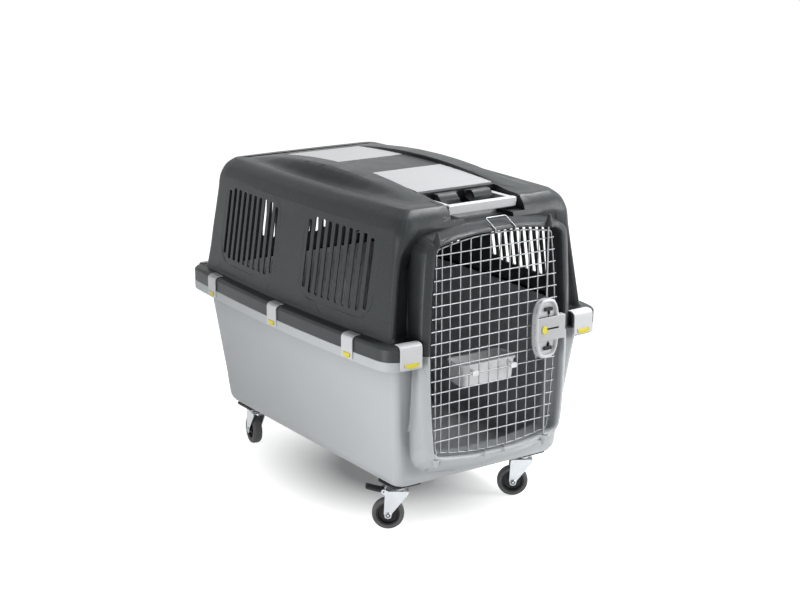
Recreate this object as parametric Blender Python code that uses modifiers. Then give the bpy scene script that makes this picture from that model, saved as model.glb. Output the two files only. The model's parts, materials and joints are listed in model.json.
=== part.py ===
"""Pet travel crate: two moulded half shells, a wire door, clips, lids, handles and casters.

Metres, +Z up. The door side faces -Y. The origin is on the floor under the middle of the crate.
"""
import math

import bmesh
import bpy
from mathutils import Matrix, Vector

# Fits between pieces
TOUCH_GAP = 0.0003
SLIDE_GAP = 0.0005
SWING_GAP = 0.0015
EMBED = 0.001

# Casters
WHEEL_RADIUS = 0.0375
TREAD_WIDTH = 0.024
TYRE_THICKNESS = 0.0105
HUB_WIDTH = 0.021
HUB_WEB = 0.007
AXLE_RADIUS = 0.004
AXLE_HEAD_RADIUS = 0.0068
AXLE_HEAD_HEIGHT = 0.0035
CASTER_TRAIL = 0.027
FORK_PLATE = 0.0025
FORK_LEG_TOP = 0.024
FORK_LEG_BOTTOM = 0.0095
FORK_SIDE_GAP = 0.0025
SWIVEL_HEAD_RADIUS = 0.021
SWIVEL_HEAD_HEIGHT = 0.020
WHEEL_TOP_GAP = 0.0177
CASTER_PLATE_SIDE = 0.078
CASTER_PLATE_HEIGHT = 0.006
CASTER_PLATE_CORNER = 0.008
CASTER_EDGE_SIDE = 0.050
CASTER_EDGE_END = 0.0625
CASTER_ANGLES = {"front_left": 145.0, "front_right": 147.0, "rear_left": 79.0, "rear_right": 112.0}
BRAKED_CASTERS = ("front_left", "rear_right")
PEDAL_WIDTH = 0.026
PEDAL_LENGTH = 0.040
PEDAL_THICKNESS = 0.004
PEDAL_PIVOT_REACH = 0.037
PEDAL_PIN_RADIUS = 0.0016
PEDAL_EAR_RADIUS = 0.006

# Shells
SHELL_WALL = 0.004
LOWER_HEIGHT = 0.3277
UPPER_HEIGHT = 0.345
RIM_HALF_WIDTH = 0.320
RIM_HALF_LENGTH = 0.460
RIM_CORNER = 0.040
RIM_BOW_SIDE = 0.021
RIM_BOW_END = 0.007
RIM_HEIGHT = 0.034
LIP_HEIGHT = 0.022
TONGUE_HEIGHT = 0.027
LOWER_LEDGE_SIDE = 0.0365
LOWER_LEDGE_END = 0.028
UPPER_LEDGE_SIDE = 0.031
UPPER_LEDGE_END = 0.027
BASE_DRAFT_SIDE = 0.0515
BASE_DRAFT_END = 0.041
BASE_ROUNDING = 0.022
WALL_LEAN_SIDE = 0.032
WALL_LEAN_END = 0.019
SHOULDER_REACH_SIDE = 0.049
SHOULDER_REACH_END = 0.040
SHOULDER_DROP = 0.063
RIDGE_DROP = 0.027
WALL_CORNER = 0.024
WALL_BOW_SIDE = 0.018
WALL_BOW_END = 0.006
RECESS_DEPTH = 0.026
LOWER_RECESS_DEPTH = 0.006
LOWER_RECESS = ((0.060, 0.0), (0.140, 1.0))
UPPER_RECESS = ((0.190, 1.0), (0.216, 0.75), (0.238, 0.22), (0.270, 0.0))
RECESS_SLOPE = 0.038

# Roof band, lid channel, handle wells
BAND_FOOT_STEP = 0.027
BAND_SLOPE = 0.028
VALLEY_DEPTH = 0.008
CHANNEL_SIDE_GAP = 0.0035
CHANNEL_END_DROP = 0.074
CHANNEL_DEPTH = 0.0085
CHANNEL_CURVE = 0.133
LID_HALF_WIDTH = 0.105
LID_START = 0.080
LID_WELL_STEP = 0.011
LID_THICKNESS = 0.003
LID_LEDGE = 0.010
TRAY_DEPTH = 0.040
TRAY_WALL = 0.008
WELL_SIDE_GAP = 0.0085
WELL_OVERLAP = 0.008
WELL_FLOOR_DROP = 0.063
WELL_WALL = 0.006
GRIP_SLOT_HALF_WIDTH = 0.068
GRIP_SLOT_DEPTH = 0.010
GRIP_SLOT_LENGTH = 0.038
HANDLE_HALF_WIDTH = 0.094
HANDLE_REACH = 0.086
HANDLE_PIVOT_STEP = 0.010
HANDLE_PIVOT_DROP = 0.041
HANDLE_LEG = 0.014
HANDLE_THICKNESS = 0.010
HANDLE_BAR = 0.015
HANDLE_BAR_HEIGHT = 0.022
HANDLE_PIN_RADIUS = 0.003
HANDLE_PIN_REACH = 0.0055
BLOCK_INNER = 0.012
BLOCK_OUTER = 0.073
BLOCK_LENGTH = 0.036
BLOCK_DROP = 0.024
FINGER_SCOOP_RADIUS = 0.014

# Side and rear vents
VENT_SLOTS = 10
VENT_PITCH = 0.0268
VENT_WIDTH = 0.0115
VENT_CENTRES = (-0.197, 0.197)
VENT_BOTTOM = 0.079
VENT_HEIGHT = 0.175
VENT_ROUNDING = 0.042
REAR_VENT_SLOTS = 8

# Doorway and its surround
DOORWAY_HALF_WIDTH = 0.188
DOORWAY_HALF_HEIGHT = 0.2585
DOORWAY_BULGE_SIDE = 0.014
DOORWAY_BULGE_END = 0.020
DOORWAY_CORNER = 0.018
SURROUND_SET_BACK = 0.005
SURROUND_DEPTH = 0.043
SURROUND_FACE = 0.021
SURROUND_SIDE = 0.025
SURROUND_HOOD = 0.016
SURROUND_CHIN = 0.052
SURROUND_TILT = 0.0105
SURROUND_WALL = 0.003

# Door
DOOR_RECESS = 0.0138
FRAME_WIRE = 0.004
GRID_WIRE = 0.003
WIRE_WELD = 0.0005
HINGE_X = -0.166
HINGE_PIN_REACH = 0.0125
HINGE_PIN_FORWARD = 0.005
HINGE_CRANK = 0.009
DOOR_HALF_WIDTH = 0.170
DOOR_BULGE_SIDE = 0.020
DOOR_EDGE_GAP = 0.006
GRID_FIRST_X = -0.130
GRID_PITCH_X = 0.0272
GRID_COLUMNS = 11
HINGE_WIRE_X = -0.153
GRID_FIRST_Z = -0.205
GRID_PITCH_Z = 0.0284
GRID_ROWS = 16
WIRE_END_GAP = 0.0045
LOOP_LEFT = -0.018
LOOP_RIGHT = 0.037
HOOK_POSITIONS = (-0.038, 0.020)
BOSS_RADIUS = 0.011
BOSS_TIP_RADIUS = 0.003
UPPER_BOSS_HEIGHT = 0.027
LOWER_BOSS_HEIGHT = 0.021
SOCKET_GAP = 0.0006
SOCKET_DEPTH = 0.014

# Latch
LATCH_X = 0.131
LATCH_Z = 0.0125
LATCH_HALF_WIDTH = 0.0345
LATCH_HALF_HEIGHT = 0.070
LATCH_DEPTH = 0.017
LATCH_RIM = 0.008
LATCH_POCKET = 0.006
LATCH_BAR_HALF_HEIGHT = 0.028
LATCH_BAR_RIGHT = 0.182
LATCH_ROD_X = 0.137
LATCH_ROD_RADIUS = 0.0024
LATCH_GROOVE_DEPTH = 0.0065
LATCH_TRAVEL = 0.008
TAB_OFFSET = 0.046
TAB_WIDTH = 0.028
TAB_HEIGHT = 0.008
TAB_NECK = 0.0042
LOCK_BUTTON_HALF_WIDTH = 0.0075
LOCK_BUTTON_HALF_HEIGHT = 0.010
LOCK_BUTTON_PROUD = 0.002
LOCK_SLOT_LEFT = 0.1125
LOCK_SLOT_RIGHT = 0.1625
LOCK_SLOT_HALF_HEIGHT = 0.002
LOCK_SLOT_DEPTH = 0.006

# Food bowl
BOWL_HALF_WIDTH = 0.078
BOWL_DEPTH = 0.072
BOWL_HEIGHT = 0.058
BOWL_TAPER = 0.009
BOWL_CORNER = 0.016
BOWL_WALL = 0.0025
BOWL_RIM = 0.004
BOWL_RIB_DEPTH = 0.0016
BOWL_DOOR_GAP = 0.002
BOWL_WIRE_ROW = 5
BOWL_HOOK_COLUMNS = (2, 6)
BOWL_HOOK_WIDTH = 0.008
BOWL_HOOK_BAR = 0.0045

# Clips
SIDE_CLIP_WIDTH = 0.040
END_CLIP_WIDTH = 0.056
SIDE_CLIP_Y = (-0.311, 0.0, 0.311)
END_CLIP_GAP = 0.0015
CLIP_THICKNESS = 0.0034
CLIP_TOP_THICKNESS = 0.0022
CLIP_TOP_REACH = 0.020
CLIP_BOTTOM = 0.017
LOCK_HEIGHT = 0.0075
LOCK_LOW = 0.0125
LOCK_SHARE = 0.52
LOCK_PROUD = 0.0012
LOCK_TRAVEL = 0.003

# Cutters run this far past what they cut
CUT_PAST = 0.02

# Sizes that follow
LOWER_TOP_HALF_WIDTH = RIM_HALF_WIDTH - LOWER_LEDGE_SIDE
LOWER_TOP_HALF_LENGTH = RIM_HALF_LENGTH - LOWER_LEDGE_END
UPPER_FOOT_HALF_WIDTH = RIM_HALF_WIDTH - UPPER_LEDGE_SIDE
UPPER_FOOT_HALF_LENGTH = RIM_HALF_LENGTH - UPPER_LEDGE_END
BASE_HALF_WIDTH = LOWER_TOP_HALF_WIDTH - BASE_DRAFT_SIDE
BASE_HALF_LENGTH = LOWER_TOP_HALF_LENGTH - BASE_DRAFT_END
SHOULDER_HALF_WIDTH = UPPER_FOOT_HALF_WIDTH - WALL_LEAN_SIDE
SHOULDER_HALF_LENGTH = UPPER_FOOT_HALF_LENGTH - WALL_LEAN_END
RIDGE_HALF_WIDTH = SHOULDER_HALF_WIDTH - SHOULDER_REACH_SIDE
RIDGE_HALF_LENGTH = SHOULDER_HALF_LENGTH - SHOULDER_REACH_END
BAND_FOOT_HALF_WIDTH = RIDGE_HALF_WIDTH - BAND_FOOT_STEP
BAND_HALF_WIDTH = BAND_FOOT_HALF_WIDTH - BAND_SLOPE
CASTER_X = BASE_HALF_WIDTH - CASTER_EDGE_SIDE
CASTER_Y = BASE_HALF_LENGTH - CASTER_EDGE_END
CHANNEL_HALF_WIDTH = LID_HALF_WIDTH + CHANNEL_SIDE_GAP
CHANNEL_HALF_LENGTH = RIDGE_HALF_LENGTH - CHANNEL_END_DROP
WELL_HALF_WIDTH = HANDLE_HALF_WIDTH + WELL_SIDE_GAP
WELL_START = CHANNEL_HALF_LENGTH - WELL_OVERLAP
LID_LENGTH = WELL_START - LID_WELL_STEP - LID_START
HANDLE_PIVOT_Y = WELL_START + HANDLE_PIVOT_STEP
HANDLE_FRONT = HANDLE_PIVOT_Y + HANDLE_REACH
GRIP_SLOT_START = HANDLE_FRONT - GRIP_SLOT_LENGTH
SURROUND_FRONT = RIM_HALF_LENGTH - SURROUND_SET_BACK
SURROUND_BACK = UPPER_FOOT_HALF_LENGTH - SURROUND_DEPTH
DOOR_PLANE = SURROUND_FRONT - DOOR_RECESS
HINGE_DEPTH = DOOR_PLANE + HINGE_PIN_FORWARD
END_CLIP_X = DOORWAY_HALF_WIDTH + SURROUND_SIDE + END_CLIP_WIDTH / 2 + END_CLIP_GAP
BASE_Z = 2 * WHEEL_RADIUS + WHEEL_TOP_GAP + SWIVEL_HEAD_HEIGHT + CASTER_PLATE_HEIGHT + 2 * TOUCH_GAP
SPLIT_Z = BASE_Z + LOWER_HEIGHT
ROOF_Z = SPLIT_Z + UPPER_HEIGHT
RIDGE_Z = ROOF_Z - RIDGE_DROP
DOORWAY_Z = SPLIT_Z
VENT_Z = SPLIT_Z + VENT_BOTTOM
BAND_CURVE = (RIDGE_DROP + 0.007) / RIDGE_HALF_LENGTH ** 2
RIDGE_CURVE = 0.003 / RIDGE_HALF_LENGTH ** 2
HANDLE_PIVOT_Z = ROOF_Z - HANDLE_PIVOT_DROP
WELL_FLOOR_Z = ROOF_Z - WELL_FLOOR_DROP
GRID_FRONT = DOOR_PLANE + FRAME_WIRE / 2 + TOUCH_GAP + 2 * GRID_WIRE - WIRE_WELD

# Loop steps
CORNER_STEPS = 4
SIDE_STEPS = 10
END_SHARES = (1.0, 0.88, 0.72, 0.3)

PARTS = bpy.data.collections.new("pet_travel_crate")
GUIDES = bpy.data.collections.new("cutters")


def clear_scene():
    for item in list(bpy.data.objects):
        bpy.data.objects.remove(item, do_unlink=True)
    bpy.context.scene.collection.children.link(PARTS)
    bpy.context.scene.collection.children.link(GUIDES)


def finish(name, colour, roughness, metallic=0.0, alpha=1.0):
    """One Principled material for a piece."""
    material = bpy.data.materials.new(name)
    material.use_nodes = True
    shader = material.node_tree.nodes["Principled BSDF"]
    shader.inputs["Base Color"].default_value = (*colour, 1.0)
    shader.inputs["Roughness"].default_value = roughness
    shader.inputs["Metallic"].default_value = metallic
    shader.inputs["Alpha"].default_value = alpha
    return material


def part(name, mesh, material, smooth_angle=35.0):
    """A visible piece of the crate."""
    item = bpy.data.objects.new(name, mesh)
    PARTS.objects.link(item)
    mesh.materials.clear()
    mesh.materials.append(material)
    mesh.shade_smooth()
    mesh.set_sharp_from_angle(angle=math.radians(smooth_angle))
    return item


def guide(name, mesh):
    """A solid that only cuts or joins another piece."""
    item = bpy.data.objects.new(name, mesh)
    GUIDES.objects.link(item)
    item.hide_render = True
    item.display_type = "WIRE"
    return item


def boolean(item, other, operation):
    step = item.modifiers.new(operation.lower() + "_" + other.name, "BOOLEAN")
    step.object = other
    step.operation = operation
    step.solver = "EXACT"


def mesh_from(bm, name):
    mesh = bpy.data.meshes.new(name)
    bm.normal_update()
    bm.to_mesh(mesh)
    bm.free()
    return mesh


def evaluated_mesh(item, name):
    """The mesh of an object with its modifiers or curve bevel applied, ends welded."""
    bpy.context.view_layer.update()
    graph = bpy.context.evaluated_depsgraph_get()
    mesh = bpy.data.meshes.new_from_object(item.evaluated_get(graph))
    bm = bmesh.new()
    bm.from_mesh(mesh)
    bm.transform(item.matrix_world)
    bmesh.ops.remove_doubles(bm, verts=bm.verts, dist=0.00001)
    bmesh.ops.recalc_face_normals(bm, faces=bm.faces)
    mesh.name = name
    bm.to_mesh(mesh)
    bm.free()
    return mesh


def baked(item, name):
    """Apply an object's modifiers into a plain mesh and drop the object."""
    mesh = evaluated_mesh(item, name)
    bpy.data.objects.remove(item, do_unlink=True)
    return mesh


def box_mesh(name, low, high, bevel=0.0):
    bm = bmesh.new()
    bmesh.ops.create_cube(bm, size=1.0)
    size = Vector(high) - Vector(low)
    centre = (Vector(high) + Vector(low)) / 2
    bmesh.ops.transform(bm, matrix=Matrix.Translation(centre) @ Matrix.Diagonal((*size, 1.0)), verts=bm.verts)
    if bevel:
        bmesh.ops.bevel(bm, geom=bm.edges, offset=bevel, segments=1, affect="EDGES")
    return mesh_from(bm, name)


def rod_mesh(name, start, end, radius, sides=10, end_radius=None):
    """A round bar or cone from one point to another."""
    start = Vector(start)
    run = Vector(end) - start
    bm = bmesh.new()
    bmesh.ops.create_cone(
        bm, cap_ends=True, segments=sides, radius1=radius,
        radius2=radius if end_radius is None else end_radius, depth=run.length,
    )
    turn = run.to_track_quat("Z", "Y").to_matrix().to_4x4()
    bmesh.ops.transform(bm, matrix=Matrix.Translation(start + run / 2) @ turn, verts=bm.verts)
    return mesh_from(bm, name)


def prism_mesh(name, outline, low, high, axis):
    """A flat outline drawn out along one axis. X takes (y, z), Y takes (x, z), Z takes (x, y)."""
    def lift(point, level):
        if axis == "X":
            return (level, point[0], point[1])
        if axis == "Y":
            return (point[0], level, point[1])
        return (point[0], point[1], level)

    bm = bmesh.new()
    face = bm.faces.new([bm.verts.new(lift(point, low)) for point in outline])
    grown = bmesh.ops.extrude_face_region(bm, geom=[face])
    step = Vector(lift((0.0, 0.0), high - low))
    moved = [item for item in grown["geom"] if isinstance(item, bmesh.types.BMVert)]
    bmesh.ops.translate(bm, vec=step, verts=moved)
    bmesh.ops.recalc_face_normals(bm, faces=bm.faces)
    return mesh_from(bm, name)


def turned_mesh(name, profile, steps):
    """A ring or disc turned round Z from (radius, height) points by a Screw modifier."""
    bm = bmesh.new()
    verts = [bm.verts.new((radius, 0.0, height)) for radius, height in profile]
    closed = profile[0][0] > 0.0
    for index in range(len(verts) - (0 if closed else 1)):
        bm.edges.new((verts[index], verts[(index + 1) % len(verts)]))
    item = bpy.data.objects.new(name, mesh_from(bm, name))
    GUIDES.objects.link(item)
    screw = item.modifiers.new("turn", "SCREW")
    screw.steps = steps
    screw.render_steps = steps
    screw.use_merge_vertices = True
    screw.merge_threshold = 0.00001
    return baked(item, name)


def tube_mesh(name, points, radius, cyclic=False, resolution=1):
    """A wire along a route, as a bevelled curve with filled ends."""
    curve = bpy.data.curves.new(name, "CURVE")
    curve.dimensions = "3D"
    curve.bevel_depth = radius
    curve.bevel_resolution = resolution
    curve.use_fill_caps = True
    spline = curve.splines.new("POLY")
    spline.points.add(len(points) - 1)
    for knot, point in zip(spline.points, points):
        knot.co = (*point, 1.0)
    spline.use_cyclic_u = cyclic
    item = bpy.data.objects.new(name, curve)
    GUIDES.objects.link(item)
    return baked(item, name)


def joined(name, first, others, operation="UNION"):
    """One mesh from a first mesh and the meshes joined to it or cut from it."""
    item = bpy.data.objects.new(name, first)
    GUIDES.objects.link(item)
    helpers = []
    for mesh in others:
        helper = bpy.data.objects.new(mesh.name, mesh)
        GUIDES.objects.link(helper)
        boolean(item, helper, operation)
        helpers.append(helper)
    result = baked(item, name)
    for helper in helpers:
        bpy.data.objects.remove(helper, do_unlink=True)
    return result


def bowed_loop(half_u, half_v, corner, bow_u, bow_v, side_steps=SIDE_STEPS, shares=END_SHARES,
               corner_steps=CORNER_STEPS):
    """A rounded rectangle whose sides bulge, counter-clockwise from the low end of its +u side.

    half_u and half_v are measured at mid side, and the bows are how far the side ends fall back.
    """
    straight_u = half_u - corner
    straight_v = half_v - corner
    points = [(half_u, straight_v * (2 * k / side_steps - 1)) for k in range(side_steps + 1)]
    end_shares = list(shares) + [-share for share in reversed(shares)]

    def arc(sign_u, sign_v, start):
        steps = [start + 90.0 * k / corner_steps for k in range(1, corner_steps)]
        return [
            (sign_u * straight_u + corner * math.cos(math.radians(step)),
             sign_v * straight_v + corner * math.sin(math.radians(step)))
            for step in steps
        ]

    points += arc(1, 1, 0.0)
    points += [(straight_u * share, half_v) for share in end_shares]
    points += arc(-1, 1, 90.0)
    points += [(-half_u, straight_v * (1 - 2 * k / side_steps)) for k in range(side_steps + 1)]
    points += arc(-1, -1, 180.0)
    points += [(-straight_u * share, -half_v) for share in end_shares]
    points += arc(1, -1, 270.0)
    return [
        (u * (1 - bow_u / half_u * (v / half_v) ** 2), v * (1 - bow_v / half_v * (u / half_u) ** 2))
        for u, v in points
    ]


def shell_ring(half_x, half_y, z, corner, bow_x, bow_y, recess=0.0, height=None):
    """One level of a shell wall. recess draws the front wall back beside the doorway."""
    loop = bowed_loop(half_x, half_y, corner, bow_x, bow_y)
    post = max(x for x, y in loop if y < -(half_y - corner - bow_y) * 0.97)
    ring = []
    for x, y in loop:
        share = min(max((post - abs(x)) / RECESS_SLOPE, 0.0), 1.0) if y < 0 else 0.0
        drawn = y + recess * share * share * (3 - 2 * share) if y < -half_y / 2 else y
        ring.append(Vector((x, drawn, height(x, drawn) if height else z)))
    return ring


def skin(bm, rings, close=False):
    """Join successive rings with faces. Returns the vertex rows."""
    rows = [[bm.verts.new(point) for point in ring] for ring in rings]
    pairs = list(zip(rows, rows[1:])) + ([(rows[-1], rows[0])] if close else [])
    for low, high in pairs:
        for k in range(len(low)):
            n = (k + 1) % len(low)
            bm.faces.new((low[k], low[n], high[n], high[k]))
    return rows


def cap(bm, row, up):
    """Close a ring with strips that run across it from side to side."""
    left = SIDE_STEPS + 2 * (CORNER_STEPS - 1) + 2 * len(END_SHARES) + 1
    strips = [
        (row[k], row[k + 1], row[left + SIDE_STEPS - k - 1], row[left + SIDE_STEPS - k])
        for k in range(SIDE_STEPS)
    ]
    strips.append(tuple(row[SIDE_STEPS:left + 1]))
    strips.append(tuple(row[left + SIDE_STEPS:]) + (row[0],))
    for strip in strips:
        bm.faces.new(strip if up else tuple(reversed(strip)))


def band_height(y):
    return ROOF_Z - BAND_CURVE * y * y


def lid_top(y):
    """Height of the lids' upper face, flatter than the band and flush with it at the ends."""
    return ROOF_Z - CHANNEL_DEPTH - CHANNEL_CURVE * y * y


def channel_floor(y):
    return min(lid_top(y), band_height(y) - 0.001)


def roof_height(x, y):
    """The outer roof between the ridges: a raised band with a valley on each side."""
    ridge = RIDGE_Z - RIDGE_CURVE * y * y
    rise = max(band_height(y) - ridge, 0.0)
    away = abs(x)
    if away <= BAND_HALF_WIDTH:
        return ridge + rise
    fade = max(1 - (y / (0.85 * RIDGE_HALF_LENGTH)) ** 2, 0.0)
    share = max(RIDGE_HALF_WIDTH - away, 0.0) / (RIDGE_HALF_WIDTH - BAND_HALF_WIDTH)
    foot = (RIDGE_HALF_WIDTH - BAND_FOOT_HALF_WIDTH) / (RIDGE_HALF_WIDTH - BAND_HALF_WIDTH)
    dip = min(share / foot, (1 - share) / (1 - foot))
    return ridge + rise * share - (VALLEY_DEPTH + rise * foot) * fade * dip


def wall_lean(z):
    """Half width and half length of the upper wall's outer face at a height above the split."""
    low = RIM_HEIGHT
    high = UPPER_HEIGHT - RIDGE_DROP - SHOULDER_DROP
    share = (z - low) / (high - low)
    half_x = UPPER_FOOT_HALF_WIDTH + (SHOULDER_HALF_WIDTH - UPPER_FOOT_HALF_WIDTH) * share
    half_y = UPPER_FOOT_HALF_LENGTH + (SHOULDER_HALF_LENGTH - UPPER_FOOT_HALF_LENGTH) * share
    return half_x, half_y


def shoulder_point(angle):
    """Half width, half length and height on the rounded shoulder, from wall (0) to ridge (90)."""
    turn = math.radians(angle)
    half_x = RIDGE_HALF_WIDTH + (SHOULDER_HALF_WIDTH - RIDGE_HALF_WIDTH) * math.cos(turn)
    half_y = RIDGE_HALF_LENGTH + (SHOULDER_HALF_LENGTH - RIDGE_HALF_LENGTH) * math.cos(turn)
    return half_x, half_y, RIDGE_Z - SHOULDER_DROP * (1 - math.sin(turn))


def rim_ring(inset, z):
    return shell_ring(RIM_HALF_WIDTH - inset, RIM_HALF_LENGTH - inset, z, RIM_CORNER, RIM_BOW_SIDE, RIM_BOW_END)


def wall_ring(half_x, half_y, z, recess=0.0, inset=0.0, bow=1.0):
    return shell_ring(
        half_x - inset, half_y - inset, z, WALL_CORNER - inset, WALL_BOW_SIDE * bow, WALL_BOW_END * bow, recess,
    )


def lower_lean(z):
    """Half width, half length and share of full bow on the lower wall, at a height above the base."""
    share = max(z - BASE_ROUNDING, 0.0) / (LOWER_HEIGHT - SHELL_WALL - BASE_ROUNDING)
    half_x = BASE_HALF_WIDTH + (LOWER_TOP_HALF_WIDTH - BASE_HALF_WIDTH) * share
    half_y = BASE_HALF_LENGTH + (LOWER_TOP_HALF_LENGTH - BASE_HALF_LENGTH) * share
    return half_x, half_y, share


def front_wall_depth(x, z):
    """Distance from the middle to the outer face of the front wall beside the doorway."""
    if z < SPLIT_Z:
        half_x, half_y, bow = lower_lean(z - BASE_Z)
        knots = LOWER_RECESS
        height = z - BASE_Z
        depth = LOWER_RECESS_DEPTH
    else:
        height = z - SPLIT_Z
        half_x, half_y = wall_lean(height)
        bow = 1.0
        knots = UPPER_RECESS
        depth = RECESS_DEPTH
    share = knots[-1][1]
    for (low, low_share), (high, high_share) in zip(knots, knots[1:]):
        if low <= height < high:
            share = low_share + (high_share - low_share) * (height - low) / (high - low)
            break
        if height < low:
            share = low_share
            break
    return half_y - WALL_BOW_END * bow * (x / half_x) ** 2 - depth * share


def surround_loop(add_u, add_v, corner=DOORWAY_CORNER):
    """The doorway's outline in (x, z), grown by different steps sideways and up."""
    loop = bowed_loop(
        DOORWAY_HALF_WIDTH + add_u, DOORWAY_HALF_HEIGHT + add_v, corner,
        DOORWAY_BULGE_SIDE, DOORWAY_BULGE_END, side_steps=8, shares=(1.0, 0.72, 0.4), corner_steps=4,
    )
    return [(x, DOORWAY_Z + z) for x, z in loop]


def doorway_top(x, add_v=0.0):
    """Height of the doorway's top edge above its middle, at a place along its width."""
    return DOORWAY_HALF_HEIGHT + add_v - DOORWAY_BULGE_END * (x / DOORWAY_HALF_WIDTH) ** 2


def doorway_side(z):
    """Half width of the doorway at a height above its middle."""
    loop = [(x, level - DOORWAY_Z) for x, level in surround_loop(0.0, 0.0)]
    for (x, low), (end_x, high) in zip(loop, loop[1:]):
        if x > 0 and low <= z <= high:
            return x + (end_x - x) * (z - low) / max(high - low, 1e-9)
    return DOORWAY_HALF_WIDTH


def surround_mesh(name, upper):
    """Half of the moulded frame round the doorway: reveal, tilted face and hood, hollow behind."""
    hood = SURROUND_HOOD if upper else SURROUND_CHIN
    tilt = SURROUND_TILT if upper else SURROUND_TILT + 0.006
    rise = hood * 0.3 + 0.004
    corner = DOORWAY_CORNER
    outer = corner + (0.004 if upper else 0.030)
    wall = SURROUND_WALL
    front = SURROUND_FRONT
    profile = (
        (0.0, 0.0, SURROUND_BACK, corner),
        (0.0, 0.0, front - 0.004, corner),
        (0.002, 0.002, front, corner + 0.002),
        (0.007, 0.005, front - 0.0005, corner + 0.004),
        (SURROUND_FACE, rise, front - tilt, outer),
        (SURROUND_SIDE, hood, None, outer + 0.004),
        (SURROUND_SIDE - wall, hood - wall, None, outer + 0.001),
        (SURROUND_FACE - 0.9 * wall, rise - 0.9 * wall, front - tilt - 0.85 * wall, outer - 0.003),
        (0.0055, 0.0037, front - 0.0038, corner + 0.003),
        (wall, wall, front - 0.0065, corner + 0.003),
        (wall, wall, SURROUND_BACK, corner + 0.003),
    )
    split = SPLIT_Z + TOUCH_GAP if upper else SPLIT_Z - TOUCH_GAP
    bm = bmesh.new()
    rows = []
    for add_u, add_v, depth, radius in profile:
        half = [(x, z) for x, z in surround_loop(add_u, add_v, radius) if z > DOORWAY_Z + 0.0001]
        half.sort(key=lambda point: math.atan2(point[1] - DOORWAY_Z, point[0]))
        if not upper:
            half = [(x, 2 * DOORWAY_Z - z) for x, z in half]
        width = DOORWAY_HALF_WIDTH + add_u
        points = [(width, split)] + half + [(-width, split)]
        rows.append([
            bm.verts.new((x, -(front_wall_depth(x, z) - SHELL_WALL / 2 if depth is None else depth), z))
            for x, z in points
        ])
    for low, high in zip(rows, rows[1:] + rows[:1]):
        for k in range(len(low) - 1):
            bm.faces.new((low[k], low[k + 1], high[k + 1], high[k]))
    bm.faces.new([row[0] for row in rows])
    bm.faces.new([row[-1] for row in reversed(rows)])
    bmesh.ops.recalc_face_normals(bm, faces=bm.faces)
    return mesh_from(bm, name)


def vent_heights(place, half_length):
    """Bottom and top of a slot, along a rounded square window."""
    away = max(abs(place) - (half_length - VENT_ROUNDING), 0.0) / VENT_ROUNDING
    cut = VENT_ROUNDING * (1 - math.sqrt(max(1 - away * away, 0.0))) * 0.75
    return VENT_Z + cut, VENT_Z + VENT_HEIGHT - cut


def slot_outline(place, low, high):
    half = VENT_WIDTH / 2
    chamfer = half * 0.55
    return [
        (place - half, low + chamfer), (place - half + chamfer, low), (place + half - chamfer, low),
        (place + half, low + chamfer), (place + half, high - chamfer), (place + half - chamfer, high),
        (place - half + chamfer, high), (place - half, high - chamfer),
    ]


def merge_meshes(name, meshes):
    """Several separate cutters in one mesh."""
    bm = bmesh.new()
    for mesh in meshes:
        bm.from_mesh(mesh)
        bpy.data.meshes.remove(mesh)
    return mesh_from(bm, name)


def side_vent_cutter():
    reach = RIM_HALF_WIDTH + CUT_PAST
    slots = []
    for centre in VENT_CENTRES:
        for k in range(VENT_SLOTS):
            place = (k - (VENT_SLOTS - 1) / 2) * VENT_PITCH
            low, high = vent_heights(place, VENT_SLOTS * VENT_PITCH / 2)
            slots.append(prism_mesh("slot", slot_outline(centre + place, low, high), -reach, reach, "X"))
    return merge_meshes("side_vent_cutter", slots)


def rear_vent_cutter():
    slots = []
    for k in range(REAR_VENT_SLOTS):
        place = (k - (REAR_VENT_SLOTS - 1) / 2) * VENT_PITCH
        low, high = vent_heights(place, REAR_VENT_SLOTS * VENT_PITCH / 2)
        outline = slot_outline(place, low, high)
        slots.append(prism_mesh("slot", outline, UPPER_FOOT_HALF_LENGTH - 0.06, RIM_HALF_LENGTH, "Y"))
    return merge_meshes("rear_vent_cutter", slots)


def mirror_y(mesh, name):
    """A copy of a mesh on the other end of the crate."""
    bm = bmesh.new()
    bm.from_mesh(mesh)
    bmesh.ops.scale(bm, vec=(1.0, -1.0, 1.0), verts=bm.verts)
    bmesh.ops.reverse_faces(bm, faces=bm.faces)
    return mesh_from(bm, name)


def arch_outline(start, end, lift, top, steps=6):
    """Outline in (y, z): a floor that follows the lids' upper face, shifted by lift, up to a flat top."""
    places = [start + (end - start) * k / steps for k in range(steps + 1)]
    return [(y, lid_top(y) + lift) for y in places] + [(end, top), (start, top)]


def lid_fittings():
    """A tray joined under the roof, then its cavity and the lid's seat cut, for the front lid."""
    above = ROOF_Z + 0.03
    lid_end = LID_START + LID_LENGTH
    tray_half = LID_HALF_WIDTH + SWING_GAP + 0.002
    tray_low = channel_floor(lid_end) - TRAY_DEPTH - SHELL_WALL
    tray = box_mesh(
        "tray", (-tray_half, -lid_end - SWING_GAP - 0.002, tray_low),
        (tray_half, -LID_START + SWING_GAP + 0.004, channel_floor(lid_end) - LID_THICKNESS - 0.001),
    )
    cavity = box_mesh(
        "cavity", (-LID_HALF_WIDTH + LID_LEDGE / 2, -lid_end + LID_LEDGE, tray_low + SHELL_WALL),
        (LID_HALF_WIDTH - LID_LEDGE / 2, -LID_START + SWING_GAP, above),
    )
    seat_half = LID_HALF_WIDTH + SWING_GAP
    seat = prism_mesh(
        "seat",
        arch_outline(-lid_end - SWING_GAP, -LID_START + SWING_GAP, -LID_THICKNESS - TOUCH_GAP, above),
        -seat_half, seat_half, "X",
    )
    return [tray], [cavity, seat]


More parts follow.
